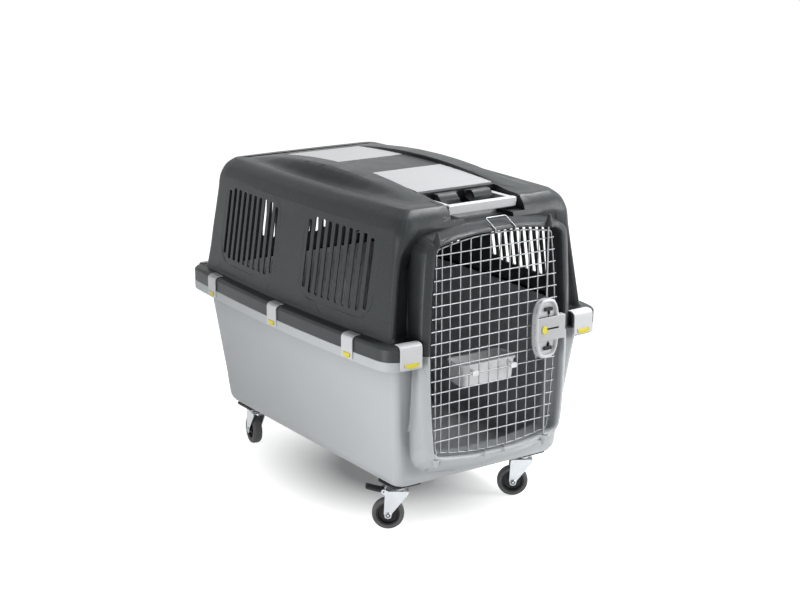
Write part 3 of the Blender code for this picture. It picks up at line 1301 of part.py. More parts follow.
def caster_meshes():
    """Mount plate, fork, hub, tyre and axle. Swivel axis through the origin, wheel towards +X."""
    top = BASE_Z - TOUCH_GAP
    plate_low = top - CASTER_PLATE_HEIGHT
    half = CASTER_PLATE_SIDE / 2
    corner = CASTER_PLATE_CORNER
    outline = [
        (half, -half + corner), (half, half - corner), (half - corner, half), (-half + corner, half),
        (-half, half - corner), (-half, -half + corner), (-half + corner, -half), (half - corner, -half),
    ]
    plate = prism_mesh("caster_plate", outline, plate_low, top, "Z")
    head_top = plate_low - TOUCH_GAP
    head_low = head_top - SWIVEL_HEAD_HEIGHT
    radius = SWIVEL_HEAD_RADIUS
    head = turned_mesh("swivel_head", [
        (0.0, head_top), (radius * 0.8, head_top), (radius, head_top - 0.004), (radius, head_top - 0.009),
        (radius * 0.72, head_low + FORK_PLATE), (radius * 0.72, head_low + 0.0004), (0.0, head_low + 0.0004),
    ], 12)
    inner = TREAD_WIDTH / 2 + FORK_SIDE_GAP
    outer = inner + FORK_PLATE
    axle_x = CASTER_TRAIL
    leg = [
        (-FORK_LEG_TOP + 0.004, head_low + FORK_PLATE), (FORK_LEG_TOP + 0.006, head_low + FORK_PLATE),
        (FORK_LEG_TOP + 0.010, head_low - 0.002), (axle_x + FORK_LEG_BOTTOM, WHEEL_RADIUS + 0.004),
        (axle_x + FORK_LEG_BOTTOM * 0.7, WHEEL_RADIUS - FORK_LEG_BOTTOM * 0.75),
        (axle_x, WHEEL_RADIUS - FORK_LEG_BOTTOM),
        (axle_x - FORK_LEG_BOTTOM * 0.7, WHEEL_RADIUS - FORK_LEG_BOTTOM * 0.75),
        (axle_x - FORK_LEG_BOTTOM, WHEEL_RADIUS + 0.004), (-FORK_LEG_TOP + 0.004, head_low - 0.004),
    ]
    cheeks = prism_mesh("cheeks", leg, -outer, outer, "Y")
    gap = box_mesh("fork_gap", (-0.1, -inner, 0.0), (0.1, inner, head_low))
    bore = rod_mesh("axle_bore", (axle_x, -0.05, WHEEL_RADIUS), (axle_x, 0.05, WHEEL_RADIUS), AXLE_RADIUS + TOUCH_GAP,
                    sides=10)
    fork = joined("fork", cheeks, [gap], "DIFFERENCE")
    fork = joined("fork", fork, [head])
    fork = joined("fork", fork, [bore], "DIFFERENCE")
    pivot_x, pivot_z = pedal_axis()
    ear = [
        (FORK_LEG_TOP, head_low + FORK_PLATE - TOUCH_GAP), (pivot_x, pivot_z + PEDAL_EAR_RADIUS),
        (pivot_x + 0.7 * PEDAL_EAR_RADIUS, pivot_z + 0.7 * PEDAL_EAR_RADIUS), (pivot_x + PEDAL_EAR_RADIUS, pivot_z),
        (pivot_x + 0.7 * PEDAL_EAR_RADIUS, pivot_z - 0.7 * PEDAL_EAR_RADIUS), (pivot_x, pivot_z - PEDAL_EAR_RADIUS),
        (FORK_LEG_TOP + 0.006, head_low - 0.012),
    ]
    ears = [
        prism_mesh("ear", ear, *sorted((side * (inner + 0.0001), side * (outer - 0.0001))), "Y") for side in (-1, 1)
    ]
    pin_bore = rod_mesh(
        "pin_bore", (pivot_x, -outer - CUT_PAST, pivot_z), (pivot_x, outer + CUT_PAST, pivot_z),
        PEDAL_PIN_RADIUS + SLIDE_GAP,
    )
    braked_fork = joined("braked_fork", fork.copy(), ears)
    braked_fork = joined("braked_fork", braked_fork, [pin_bore], "DIFFERENCE")
    hub_radius = WHEEL_RADIUS - TYRE_THICKNESS
    bore_radius = AXLE_RADIUS + TOUCH_GAP
    boss = bore_radius + 0.005
    edge = hub_radius - 0.004
    half_hub = HUB_WIDTH / 2
    hub = turned_mesh("hub", [
        (bore_radius, half_hub), (boss, half_hub), (boss + 0.001, HUB_WEB / 2), (edge - 0.001, HUB_WEB / 2),
        (edge, half_hub), (hub_radius, half_hub), (hub_radius, -half_hub), (edge, -half_hub),
        (edge - 0.001, -HUB_WEB / 2), (boss + 0.001, -HUB_WEB / 2), (boss, -half_hub), (bore_radius, -half_hub),
    ], 16)
    seat = hub_radius + TOUCH_GAP
    half_tread = TREAD_WIDTH / 2
    round_edge = 0.005
    tyre = turned_mesh("tyre", [
        (seat, half_tread - 0.0012), (WHEEL_RADIUS - round_edge, half_tread),
        (WHEEL_RADIUS, half_tread - 0.006), (WHEEL_RADIUS, -half_tread + 0.006),
        (WHEEL_RADIUS - round_edge, -half_tread), (seat, -half_tread + 0.0012),
    ], 24)
    reach = outer + TOUCH_GAP
    axle = turned_mesh("axle", [
        (0.0, reach + AXLE_HEAD_HEIGHT), (AXLE_HEAD_RADIUS * 0.75, reach + AXLE_HEAD_HEIGHT),
        (AXLE_HEAD_RADIUS, reach + AXLE_HEAD_HEIGHT * 0.5), (AXLE_HEAD_RADIUS, reach), (AXLE_RADIUS, reach),
        (AXLE_RADIUS, -reach), (AXLE_HEAD_RADIUS, -reach), (AXLE_HEAD_RADIUS, -reach - AXLE_HEAD_HEIGHT * 0.5),
        (AXLE_HEAD_RADIUS * 0.75, -reach - AXLE_HEAD_HEIGHT), (0.0, -reach - AXLE_HEAD_HEIGHT),
    ], 10)
    return plate, fork, braked_fork, hub, tyre, axle


def pedal_axis():
    """Pivot of the brake pedal in the caster's frame."""
    head_low = BASE_Z - 2 * TOUCH_GAP - CASTER_PLATE_HEIGHT - SWIVEL_HEAD_HEIGHT
    return PEDAL_PIVOT_REACH, head_low + 0.0015


def pedal_mesh():
    """Brake pedal in its pivot's frame: a tread plate over the wheel and a pin held by the fork's ears."""
    half = PEDAL_WIDTH / 2
    thick = PEDAL_THICKNESS / 2
    outline = [
        (-thick, -thick), (0.004, -thick - 0.001), (PEDAL_LENGTH * 0.55, thick * 0.5), (PEDAL_LENGTH, thick * 3),
        (PEDAL_LENGTH + 0.002, thick * 5), (PEDAL_LENGTH - 0.002, thick * 5.4), (PEDAL_LENGTH * 0.5, thick * 3),
        (0.0, thick), (-thick, thick * 0.6),
    ]
    reach = TREAD_WIDTH / 2 + FORK_SIDE_GAP + FORK_PLATE
    pin = rod_mesh("pedal_pin", (0.0, -reach, 0.0), (0.0, reach, 0.0), PEDAL_PIN_RADIUS)
    return joined("brake_pedal", prism_mesh("brake_pedal", outline, -half, half, "Y"), [pin])


def place(item, location, spin=0.0):
    item.location = location
    item.rotation_euler = (0.0, 0.0, math.radians(spin))


def add_casters(finishes):
    plate, fork, braked_fork, hub, tyre, axle = caster_meshes()
    upright = Matrix.Rotation(math.radians(90), 4, "X")
    for mesh in (hub, tyre, axle):
        mesh.transform(upright)
    pedal = pedal_mesh()
    for end, y in (("front", -CASTER_Y), ("rear", CASTER_Y)):
        for side, x in (("left", -CASTER_X), ("right", CASTER_X)):
            label = end + "_" + side
            spin = CASTER_ANGLES[label]
            place(part(label + "_caster_plate", plate.copy(), finishes["black"]), (x, y, 0.0))
            frame = braked_fork if label in BRAKED_CASTERS else fork
            place(part(label + "_fork", frame.copy(), finishes["zinc"]), (x, y, 0.0), spin)
            turn = math.radians(spin)
            wheel = (x + CASTER_TRAIL * math.cos(turn), y + CASTER_TRAIL * math.sin(turn), WHEEL_RADIUS)
            place(part(label + "_hub", hub.copy(), finishes["black"]), wheel, spin)
            place(part(label + "_tyre", tyre.copy(), finishes["tyre"]), wheel, spin)
            place(part(label + "_axle", axle.copy(), finishes["zinc"]), wheel, spin)
            if label in BRAKED_CASTERS:
                reach, height = pedal_axis()
                spot = (x + reach * math.cos(turn), y + reach * math.sin(turn), height)
                place(part(label + "_brake_pedal", pedal.copy(), finishes["black"]), spot, spin)


def rim_place(along, side):
    """A place on the rim's face, and the direction it faces in degrees. side is left, right, front or rear."""
    if side in ("left", "right"):
        sign = -1 if side == "left" else 1
        x = RIM_HALF_WIDTH - RIM_BOW_SIDE * (along / RIM_HALF_LENGTH) ** 2
        slope = 2 * RIM_BOW_SIDE * along / RIM_HALF_LENGTH ** 2
        return (sign * x, along), (0.0 if sign > 0 else 180.0) + sign * math.degrees(math.atan(slope))
    sign = -1 if side == "front" else 1
    y = RIM_HALF_LENGTH - RIM_BOW_END * (along / RIM_HALF_WIDTH) ** 2
    slope = 2 * RIM_BOW_END * along / RIM_HALF_WIDTH ** 2
    return (along, sign * y), 90.0 * sign - sign * math.degrees(math.atan(slope))


def add_clips(finishes):
    """Ten clips over the rim, each with its lock: three a side, two at each end."""
    out, rise = clip_axis()
    meshes = {"side": clip_meshes(SIDE_CLIP_WIDTH, "side"), "end": clip_meshes(END_CLIP_WIDTH, "end")}
    spots = []
    for side in ("left", "right"):
        for label, along in zip(("front", "middle", "rear"), SIDE_CLIP_Y):
            spots.append((side + "_" + label, "side", *rim_place(along, side)))
    for end in ("front", "rear"):
        for label, along in (("left", -END_CLIP_X), ("right", END_CLIP_X)):
            spots.append((end + "_end_" + label, "end", *rim_place(along, end)))
    for label, kind, (x, y), heading in spots:
        turn = math.radians(heading)
        spot = (x + out * math.cos(turn), y + out * math.sin(turn), SPLIT_Z + rise)
        clip, lock = meshes[kind]
        place(part(label + "_clip", clip.copy(), finishes["clip"]), spot, heading)
        place(part(label + "_lock", lock.copy(), finishes["yellow"]), spot, heading)


def add_door(finishes):
    """Door pieces hang on an empty that stands on the hinge wire's axis."""
    hinge = bpy.data.objects.new("door_hinge_axis", None)
    PARTS.objects.link(hinge)
    hinge.location = (HINGE_X, -HINGE_DEPTH, 0.0)
    housing, rods, tabs, button = latch_meshes()
    pieces = [
        ("door_frame", door_frame_mesh(), "zinc"), ("door_grille", door_grille_mesh(), "zinc"),
        ("latch_housing", housing, "clip"), ("latch_bottom_rod", rods[0], "zinc"), ("latch_top_rod", rods[1], "zinc"),
        ("latch_bottom_tab", tabs[0], "black"), ("latch_top_tab", tabs[1], "black"),
        ("latch_lock_button", button, "yellow"), ("food_bowl", bowl_mesh(), "clear"),
    ]
    for name, mesh, kind in pieces:
        item = part(name, mesh, finishes[kind])
        item.parent = hinge
        item.location = -hinge.location


def add_roof_pieces(finishes):
    """Two lids and the handle, each with its origin on its own pivot."""
    y_axis, z_axis = lid_axis()
    lid = lid_mesh()
    for end, sign, spin in (("front", -1, 0.0), ("rear", 1, 180.0)):
        place(part("lid_" + end, lid.copy(), finishes["lid"]), (0.0, sign * y_axis, z_axis), spin)
    place(part("handle", handle_mesh(), finishes["clip"]), (0.0, -HANDLE_PIVOT_Y, HANDLE_PIVOT_Z))


def build():
    clear_scene()
    finishes = {
        "dark": finish("dark_grey_shell", (0.070, 0.078, 0.080), 0.5),
        "light": finish("light_grey_shell", (0.480, 0.500, 0.510), 0.45),
        "clip": finish("pale_grey_fittings", (0.660, 0.670, 0.690), 0.35),
        "lid": finish("pale_grey_lid", (0.670, 0.680, 0.700), 0.4),
        "yellow": finish("yellow_locks", (0.800, 0.680, 0.060), 0.35),
        "black": finish("black_plastic", (0.012, 0.012, 0.013), 0.4),
        "zinc": finish("zinc_plate", (0.620, 0.640, 0.660), 0.28, 1.0),
        "tyre": finish("grey_tyre", (0.055, 0.055, 0.057), 0.7),
        "clear": finish("clear_bowl", (0.850, 0.870, 0.880), 0.2, 0.0, 0.4),
    }
    lower_shell(finishes["light"])
    upper_shell(finishes["dark"])
    add_door(finishes)
    add_roof_pieces(finishes)
    add_clips(finishes)
    add_casters(finishes)


build()
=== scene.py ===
import json
import math

import bmesh
import bpy
from mathutils import Matrix, Vector
from mathutils.bvhtree import BVHTree


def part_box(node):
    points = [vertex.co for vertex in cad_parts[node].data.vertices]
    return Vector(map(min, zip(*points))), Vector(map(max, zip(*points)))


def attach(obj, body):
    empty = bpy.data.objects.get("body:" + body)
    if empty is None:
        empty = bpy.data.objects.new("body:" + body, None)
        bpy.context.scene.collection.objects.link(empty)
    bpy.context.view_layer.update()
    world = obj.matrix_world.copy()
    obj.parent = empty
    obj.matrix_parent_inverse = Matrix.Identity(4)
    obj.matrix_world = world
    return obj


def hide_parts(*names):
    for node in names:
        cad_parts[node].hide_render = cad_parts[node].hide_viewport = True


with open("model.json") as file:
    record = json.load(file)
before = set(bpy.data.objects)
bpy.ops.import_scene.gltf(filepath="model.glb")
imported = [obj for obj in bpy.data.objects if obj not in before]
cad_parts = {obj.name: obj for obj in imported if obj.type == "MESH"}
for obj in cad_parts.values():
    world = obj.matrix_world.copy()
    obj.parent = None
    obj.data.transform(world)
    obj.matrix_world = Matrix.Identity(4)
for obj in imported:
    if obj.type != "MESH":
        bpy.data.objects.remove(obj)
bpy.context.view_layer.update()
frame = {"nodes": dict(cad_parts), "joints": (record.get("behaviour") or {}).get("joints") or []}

# Lower tub. Light grey polypropylene, injection moulded in one with its flange, doorway sill and
# the tongue that the upper half sits over. Its outside has the fine spark-eroded grain of the mould
# and is a little paler where hands and door frames rub its edges.
LOWER_GREY = (0.545, 0.570, 0.582)
LOWER_GREY_RUBBED = (0.640, 0.664, 0.675)
NOISE_LOW = 0.3
NOISE_HIGH = 0.7
EDGE_SAMPLES = 4
RUB_STARTS = 0.99
RUB_FULL = 0.80
RUB_MOST = 0.8
RECESS_SAMPLES = 6
CLOSED_IN = 0.50
OPEN_OUT = 0.90
WELD_GAP = 0.00002
SHORTEST_HALVED = 0.0012
LEAST_LIFT = 0.00003
MOST_LIFT = 0.0012
MOST_LIFT_SHARE = 0.07
ALONG_CREASE = 0.8
ALONG_CURVE = 0.6
ROUNDED_EDGE_MARGIN = 8.0

crate_parts = frame["nodes"]


def shader_of(finish):
    return finish.node_tree.nodes["Principled BSDF"]


def start_finish(name, colour, roughness, metallic=0.0, specular=0.5):
    """A finish whose even values stand on the shader's own sockets."""
    finish = bpy.data.materials.new(name)
    finish.use_nodes = True
    finish.diffuse_color = (*colour, 1.0)
    sockets = shader_of(finish).inputs
    sockets["Base Color"].default_value = (*colour, 1.0)
    sockets["Roughness"].default_value = roughness
    sockets["Metallic"].default_value = metallic
    sockets["Specular IOR Level"].default_value = specular
    return finish


def surface_noise(finish, scale, detail, stretch):
    """Noise that stays on the piece, with its size counted per metre."""
    nodes, links = finish.node_tree.nodes, finish.node_tree.links
    place = nodes.new("ShaderNodeTexCoord")
    along = nodes.new("ShaderNodeMapping")
    along.inputs["Scale"].default_value = stretch
    field = nodes.new("ShaderNodeTexNoise")
    field.inputs["Scale"].default_value = scale
    field.inputs["Detail"].default_value = detail
    links.new(place.outputs["Object"], along.inputs["Vector"])
    links.new(along.outputs["Vector"], field.inputs["Vector"])
    return field.outputs["Fac"]


def rescaled(tree, value, start, end, at_start, at_end):
    """A value between start and end, carried over to the range from at_start to at_end."""
    change = tree.nodes.new("ShaderNodeMapRange")
    change.inputs["From Min"].default_value = start
    change.inputs["From Max"].default_value = end
    change.inputs["To Min"].default_value = at_start
    change.inputs["To Max"].default_value = at_end
    tree.links.new(value, change.inputs["Value"])
    return change.outputs["Result"]


def eased_normal(finish, radius):
    """Which way the surface faces once its edges are rounded over."""
    eased = finish.node_tree.nodes.new("ShaderNodeBevel")
    eased.samples = EDGE_SAMPLES
    eased.inputs["Radius"].default_value = radius
    return eased.outputs["Normal"]


def drift_colour(finish, colour, spread, scale, stretch=(1.0, 1.0, 1.0)):
    """Pigment that isn't quite even: the colour drifts over the piece."""
    ramp = finish.node_tree.nodes.new("ShaderNodeValToRGB")
    dark, light = ramp.color_ramp.elements
    dark.position = NOISE_LOW
    light.position = NOISE_HIGH
    dark.color = (*[c * (1 - spread) for c in colour], 1.0)
    light.color = (*[min(c * (1 + spread), 1.0) for c in colour], 1.0)
    finish.node_tree.links.new(surface_noise(finish, scale, detail=4.0, stretch=stretch), ramp.inputs["Fac"])
    finish.node_tree.links.new(ramp.outputs["Color"], shader_of(finish).inputs["Base Color"])


def drift_gloss(finish, low, high, scale, stretch=(1.0, 1.0, 1.0)):
    """Roughness that wanders between two values."""
    noise = surface_noise(finish, scale, detail=3.0, stretch=stretch)
    roughness = rescaled(finish.node_tree, noise, NOISE_LOW, NOISE_HIGH, low, high)
    finish.node_tree.links.new(roughness, shader_of(finish).inputs["Roughness"])


def raise_grain(finish, scale, depth, strength, edge=0.0, stretch=(1.0, 1.0, 1.0)):
    """Mould grain as a bump, over edges that are eased by the given radius."""
    links = finish.node_tree.links
    bump = finish.node_tree.nodes.new("ShaderNodeBump")
    bump.inputs["Strength"].default_value = strength
    bump.inputs["Distance"].default_value = depth
    links.new(surface_noise(finish, scale, detail=2.0, stretch=stretch), bump.inputs["Height"])
    if edge:
        links.new(eased_normal(finish, edge), bump.inputs["Normal"])
    links.new(bump.outputs["Normal"], shader_of(finish).inputs["Normal"])


def edge_wear_and_highlight(finish, edge_tone, reach):
    """Edges set to another tone where the eased normal leaves the true one: wear from handling on the
    mouldings, and a painted highlight on the bowl.
    """
    nodes, links = finish.node_tree.nodes, finish.node_tree.links
    base = shader_of(finish).inputs["Base Color"]
    true = nodes.new("ShaderNodeNewGeometry")
    agree = nodes.new("ShaderNodeVectorMath")
    agree.operation = "DOT_PRODUCT"
    links.new(eased_normal(finish, reach), agree.inputs[0])
    links.new(true.outputs["Normal"], agree.inputs[1])
    edge_wear_and_highlight_mask = rescaled(finish.node_tree, agree.outputs["Value"], RUB_STARTS, RUB_FULL, 0.0, RUB_MOST)
    blend = nodes.new("ShaderNodeMix")
    blend.data_type = "RGBA"
    links.new(edge_wear_and_highlight_mask, blend.inputs["Factor"])
    links.new(base.links[0].from_socket, blend.inputs["A"])
    blend.inputs["B"].default_value = (*edge_tone, 1.0)
    links.new(blend.outputs["Result"], base)


def paint_shade_in_recesses(finish, reach, darkest):
    """Painted shade in recesses: the colour darkens where the piece closes round itself."""
    nodes, links = finish.node_tree.nodes, finish.node_tree.links
    base = shader_of(finish).inputs["Base Color"]
    closed_in = nodes.new("ShaderNodeAmbientOcclusion")
    closed_in.samples = RECESS_SAMPLES
    closed_in.only_local = True
    closed_in.inputs["Distance"].default_value = reach
    openness = rescaled(finish.node_tree, closed_in.outputs["AO"], CLOSED_IN, OPEN_OUT, darkest, 1.0)
    dimmed = nodes.new("ShaderNodeVectorMath")
    dimmed.operation = "SCALE"
    links.new(base.links[0].from_socket, dimmed.inputs[0])
    links.new(openness, dimmed.inputs["Scale"])
    links.new(dimmed.outputs[0], base)


def fit_out(piece, finish, body, slot, *nodes):
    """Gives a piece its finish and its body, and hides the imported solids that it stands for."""
    piece.data.materials.clear()
    piece.data.materials.append(finish)
    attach(piece, body)
    if nodes:
        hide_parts(*nodes)


def smooth_over(piece, sharp):
    """Smooth shading, kept crisp where faces meet at more than the given angle."""
    piece.data.shade_smooth()
    piece.data.set_sharp_from_angle(angle=math.radians(sharp))
    even = piece.modifiers.new("even", "WEIGHTED_NORMAL")
    even.keep_sharp = True


def chain_end(edge, corner, creases):
    """The far end of the crease that goes on from a corner, or None where it turns or forks."""
    onward = [other for other in corner.link_edges if other is not edge and other in creases]
    if len(onward) != 1:
        return None
    far = onward[0].other_vert(corner)
    along = (corner.co - edge.other_vert(corner).co).normalized()
    return far.co if along.dot((far.co - corner.co).normalized()) > ALONG_CREASE else None


def crease_lift(edge, creases):
    """How far a crease bows off its chord, on the cubic through it and the corners on either side."""
    start, end = edge.verts
    before, after = chain_end(edge, start, creases), chain_end(edge, end, creases)
    if before is None or after is None:
        return None
    return (start.co + end.co - before - after) / 16


def curve_lift(edge, facing):
    """How far a curved face bows off an edge's chord, on the cubic that leaves both ends in its slope."""
    start, end = edge.verts
    face = edge.link_faces[0].index
    first, second = facing[face, start.index], facing[face, end.index]
    if first.dot(second) < ALONG_CURVE:
        return None
    span = end.co - start.co
    return (second * span.dot(second) - first * span.dot(first)) / 8


def spot_key(place):
    """A place to the nearest micrometre, to find it again."""
    return tuple(round(c, 6) for c in place)


def ease_facets(mesh, sharp):
    """Halves the facets of curved faces and lifts the new points on to the curve that they stand for."""
    mesh.shade_smooth()
    mesh.set_sharp_from_angle(angle=math.radians(sharp))
    normals = [Vector(corner.vector) for corner in mesh.corner_normals]
    facing = {}
    for polygon in mesh.polygons:
        for corner in polygon.loop_indices:
            facing[polygon.index, mesh.loops[corner].vertex_index] = normals[corner]
    bm = bmesh.new()
    bm.from_mesh(mesh)
    creases = {edge for edge in bm.edges if not edge.smooth}
    lifts, curved = {}, []
    for edge in bm.edges:
        start, end = edge.verts
        length = (end.co - start.co).length
        if length < SHORTEST_HALVED or len(edge.link_faces) != 2:
            continue
        lift = crease_lift(edge, creases) if edge in creases else curve_lift(edge, facing)
        if lift is not None and lift.length > LEAST_LIFT:
            lift *= min(1.0, MOST_LIFT_SHARE * length / lift.length, MOST_LIFT / lift.length)
            lifts[spot_key((start.co + end.co) / 2)] = lift
            curved.append(edge)
    bmesh.ops.subdivide_edges(bm, edges=curved, cuts=1, use_grid_fill=True)
    for vertex in bm.verts:
        lift = lifts.get(spot_key(vertex.co))
        if lift is not None:
            vertex.co += lift
    for edge in bm.edges:
        edge.smooth = True
    bm.to_mesh(mesh)
    bm.free()


def moulding(node, name, edge=0.0, sharp=32.0, flat=0.6, eased=0):
    """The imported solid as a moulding: facets welded, edges rounded by edge metres, curves smooth.

    No point leaves the solid's own box.
    """
    mesh = crate_parts[node].data.copy()
    mesh.name = name
    bm = bmesh.new()
    bm.from_mesh(mesh)
    bmesh.ops.remove_doubles(bm, verts=bm.verts, dist=WELD_GAP)
    bmesh.ops.dissolve_limit(
        bm, angle_limit=math.radians(flat), verts=bm.verts, edges=bm.edges, delimit={"NORMAL"},
    )
    bm.to_mesh(mesh)
    bm.free()
    for _ in range(eased):
        ease_facets(mesh, sharp)
    low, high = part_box(node)
    for vertex in mesh.vertices:
        vertex.co = [min(max(c, least), most) for c, least, most in zip(vertex.co, low, high)]
    piece = bpy.data.objects.new(name, mesh)
    bpy.context.scene.collection.objects.link(piece)
    if edge:
        round_over = piece.modifiers.new("rounded", "BEVEL")
        round_over.width = edge
        round_over.segments = 2
        round_over.limit_method = "ANGLE"
        round_over.angle_limit = math.radians(sharp)
        round_over.miter_outer = "MITER_ARC"
    smooth_over(piece, sharp + ROUNDED_EDGE_MARGIN if edge else sharp)
    return piece


light_grey = start_finish("light_grey_polypropylene", LOWER_GREY, roughness=0.5, specular=0.3)
drift_colour(light_grey, LOWER_GREY, spread=0.02, scale=5.0)
drift_gloss(light_grey, low=0.44, high=0.52, scale=40.0)
raise_grain(light_grey, scale=1100.0, depth=0.0004, strength=0.10, edge=0.0015)
edge_wear_and_highlight(light_grey, LOWER_GREY_RUBBED, reach=0.002)
# Painted shade: the tub's colour darkens in its recesses.
paint_shade_in_recesses(light_grey, reach=0.09, darkest=0.38)
tub = moulding("lower_shell", "lower_tub", sharp=28.0, flat=0.15, eased=2)
fit_out(tub, light_grey, "crate", "light_grey_shell", "lower_shell")

# Upper half. Dark grey polypropylene with its rim, roof band, lid trays, handle well and the upper
# half of the doorway frame moulded in one. The slotted windows are pierced in the mould, and a low
# bead runs round each group of slots. The slots are wider behind the skin than in it.
UPPER_GREY = (0.048, 0.054, 0.056)
UPPER_GREY_RUBBED = (0.084, 0.092, 0.095)
WINDOW_MIDDLES = (-0.197, 0.197)
WINDOW_HALF_WIDTH = 0.143
REAR_WINDOW_HALF_WIDTH = 0.122
WINDOW_LOW = 0.511
WINDOW_HIGH = 0.716
WINDOW_CORNER = 0.052
CORNER_STEPS = 8
BEAD_RADIUS = 0.0009
BEAD_SUNK_SHARE = 0.45
BEAD_POINT_GAP = 0.012
SLOTS_IN_ROW = 10
SLOT_PITCH = 0.0268
SLOT_CUT_HALF = 0.00577
SLOT_HALF = 0.0071
SLOT_INNER_HALF = 0.0086
SLOT_LOW = 0.520
SLOT_HIGH = 0.706
SIDE_WALL_STARTS = 0.19
SKIN = 0.002
OUTSIDE_X = 0.5
OUTSIDE_Y = 0.6


def face_tree(node):
    """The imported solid's faces, to lay small things on."""
    mesh = crate_parts[node].data
    corners = [vertex.co.copy() for vertex in mesh.vertices]
    return BVHTree.FromPolygons(corners, [tuple(polygon.vertices) for polygon in mesh.polygons])


def side_wall(side, y, z):
    """Where the upper half's outside lies, on one side of the crate."""
    return upper_faces.ray_cast(Vector((side * OUTSIDE_X, y, z)), Vector((-side, 0, 0)))[0]


def rear_wall(x, z):
    """Where the upper half's outside lies, at the rear."""
    return upper_faces.ray_cast(Vector((x, OUTSIDE_Y, z)), Vector((0, -1, 0)))[0]


def slot_place(away, half):
    """Where a point this far from a slot's middle goes, when the slot's half width becomes half."""
    half_pitch = SLOT_PITCH / 2
    if away < SLOT_CUT_HALF:
        return away * half / SLOT_CUT_HALF
    if away < half_pitch:
        return half + (away - SLOT_CUT_HALF) * (half_pitch - half) / (half_pitch - SLOT_CUT_HALF)
    return away


def widen_slots(piece):
    """Opens the solid's side slots to the width they have in the skin, and to a larger one behind it."""
    middle_slot = (SLOTS_IN_ROW - 1) / 2
    for vertex in piece.data.vertices:
        x, y, z = vertex.co
        if abs(x) <= SIDE_WALL_STARTS or not SLOT_LOW < z < SLOT_HIGH:
            continue
        window = min(WINDOW_MIDDLES, key=lambda place: abs(place - y))
        nearest = min(max(round((y - window) / SLOT_PITCH + middle_slot), 0), SLOTS_IN_ROW - 1)
        centre = window + (nearest - middle_slot) * SLOT_PITCH
        outside = side_wall(math.copysign(1, x), centre + SLOT_PITCH / 2, z)
        half = SLOT_HALF if abs(x) > abs(outside.x) - SKIN else SLOT_INNER_HALF
        vertex.co.y = centre + math.copysign(slot_place(abs(y - centre), half), y - centre)


def laid_wires(name, runs, radius, rings=3, closed=False):
    """Round wires or beads, each along its own run of points."""
    curve = bpy.data.curves.new(name, "CURVE")
    curve.dimensions = "3D"
    curve.bevel_depth = radius
    curve.bevel_resolution = rings
    curve.use_fill_caps = True
    for run in runs:
        spline = curve.splines.new("POLY")
        spline.points.add(len(run) - 1)
        for knot, point in zip(spline.points, run):
            knot.co = (*point, 1.0)
        spline.use_cyclic_u = closed
        spline.use_smooth = True
    piece = bpy.data.objects.new(name, curve)
    bpy.context.scene.collection.objects.link(piece)
    return piece


def window_loop(half_width):
    """A rounded window's outline, as places across and up."""
    middle = (WINDOW_LOW + WINDOW_HIGH) / 2
    half_height = (WINDOW_HIGH - WINDOW_LOW) / 2
    loop = []
    for quarter, (across, up) in enumerate(((1, 1), (-1, 1), (-1, -1), (1, -1))):
        for k in range(CORNER_STEPS + 1):
            turn = math.radians(90 * quarter + 90 * k / CORNER_STEPS)
            loop.append((
                across * (half_width - WINDOW_CORNER) + WINDOW_CORNER * math.cos(turn),
                middle + up * (half_height - WINDOW_CORNER) + WINDOW_CORNER * math.sin(turn),
            ))
    filled = []
    for (u, v), (next_u, next_v) in zip(loop, loop[1:] + loop[:1]):
        count = max(1, round(math.hypot(next_u - u, next_v - v) / BEAD_POINT_GAP))
        filled += [(u + (next_u - u) * k / count, v + (next_v - v) * k / count) for k in range(count)]
    return filled


dark_grey = start_finish("dark_grey_polypropylene", UPPER_GREY, roughness=0.5, specular=0.24)
drift_colour(dark_grey, UPPER_GREY, spread=0.20, scale=380.0)
drift_gloss(dark_grey, low=0.33, high=0.40, scale=40.0)
raise_grain(dark_grey, scale=900.0, depth=0.0005, strength=0.20, edge=0.0018)
edge_wear_and_highlight(dark_grey, UPPER_GREY_RUBBED, reach=0.0022)
# Painted shade: the upper half's colour darkens in its recesses.
paint_shade_in_recesses(dark_grey, reach=0.09, darkest=0.40)
upper_faces = face_tree("upper_shell")
roof_half = moulding("upper_shell", "upper_half", sharp=28.0, flat=0.15, eased=2)
widen_slots(roof_half)
fit_out(roof_half, dark_grey, "crate", "dark_grey_shell", "upper_shell")

sunk = BEAD_RADIUS * BEAD_SUNK_SHARE
bead_runs = []
for side in (-1, 1):
    for middle in WINDOW_MIDDLES:
        bead_runs.append([
            side_wall(side, middle + across, height) - Vector((side * sunk, 0, 0))
            for across, height in window_loop(WINDOW_HALF_WIDTH)
        ])
bead_runs.append([
    rear_wall(across, height) - Vector((0, sunk, 0))
    for across, height in window_loop(REAR_WINDOW_HALF_WIDTH)
])
window_beads = laid_wires("window_beads", bead_runs, BEAD_RADIUS, closed=True)
fit_out(window_beads, dark_grey, "crate", "dark_grey_shell")

# Roof lids. Two pale grey plates that close the roof compartments and tip up about their inner
# ends. Their tops carry fine lines that run across the crate, like brushed metal.
LID_GREY = (0.435, 0.444, 0.455)
LINES_ACROSS = (0.05, 5.0, 5.0)

pale_lid = start_finish("pale_grey_lid_plate", LID_GREY, roughness=0.42)
drift_colour(pale_lid, LID_GREY, spread=0.035, scale=120.0, stretch=LINES_ACROSS)
drift_gloss(pale_lid, low=0.34, high=0.50, scale=160.0, stretch=LINES_ACROSS)
raise_grain(pale_lid, scale=260.0, depth=0.0003, strength=0.14, edge=0.0008, stretch=LINES_ACROSS)
for end in ("front", "rear"):
    lid_plate = moulding("lid_" + end, end + "_lid_plate", edge=0.0007, flat=0.2)
    fit_out(lid_plate, pale_lid, end + "_lid", "pale_grey_lid", "lid_" + end)

# Carry handle. A pale grey nylon U whose two stub pins turn in the walls of its well. Its bar hangs
# over the well's front edge so that fingers reach under it.
FITTING_GREY = (0.650, 0.662, 0.676)
FITTING_GREY_RUBBED = (0.790, 0.800, 0.810)

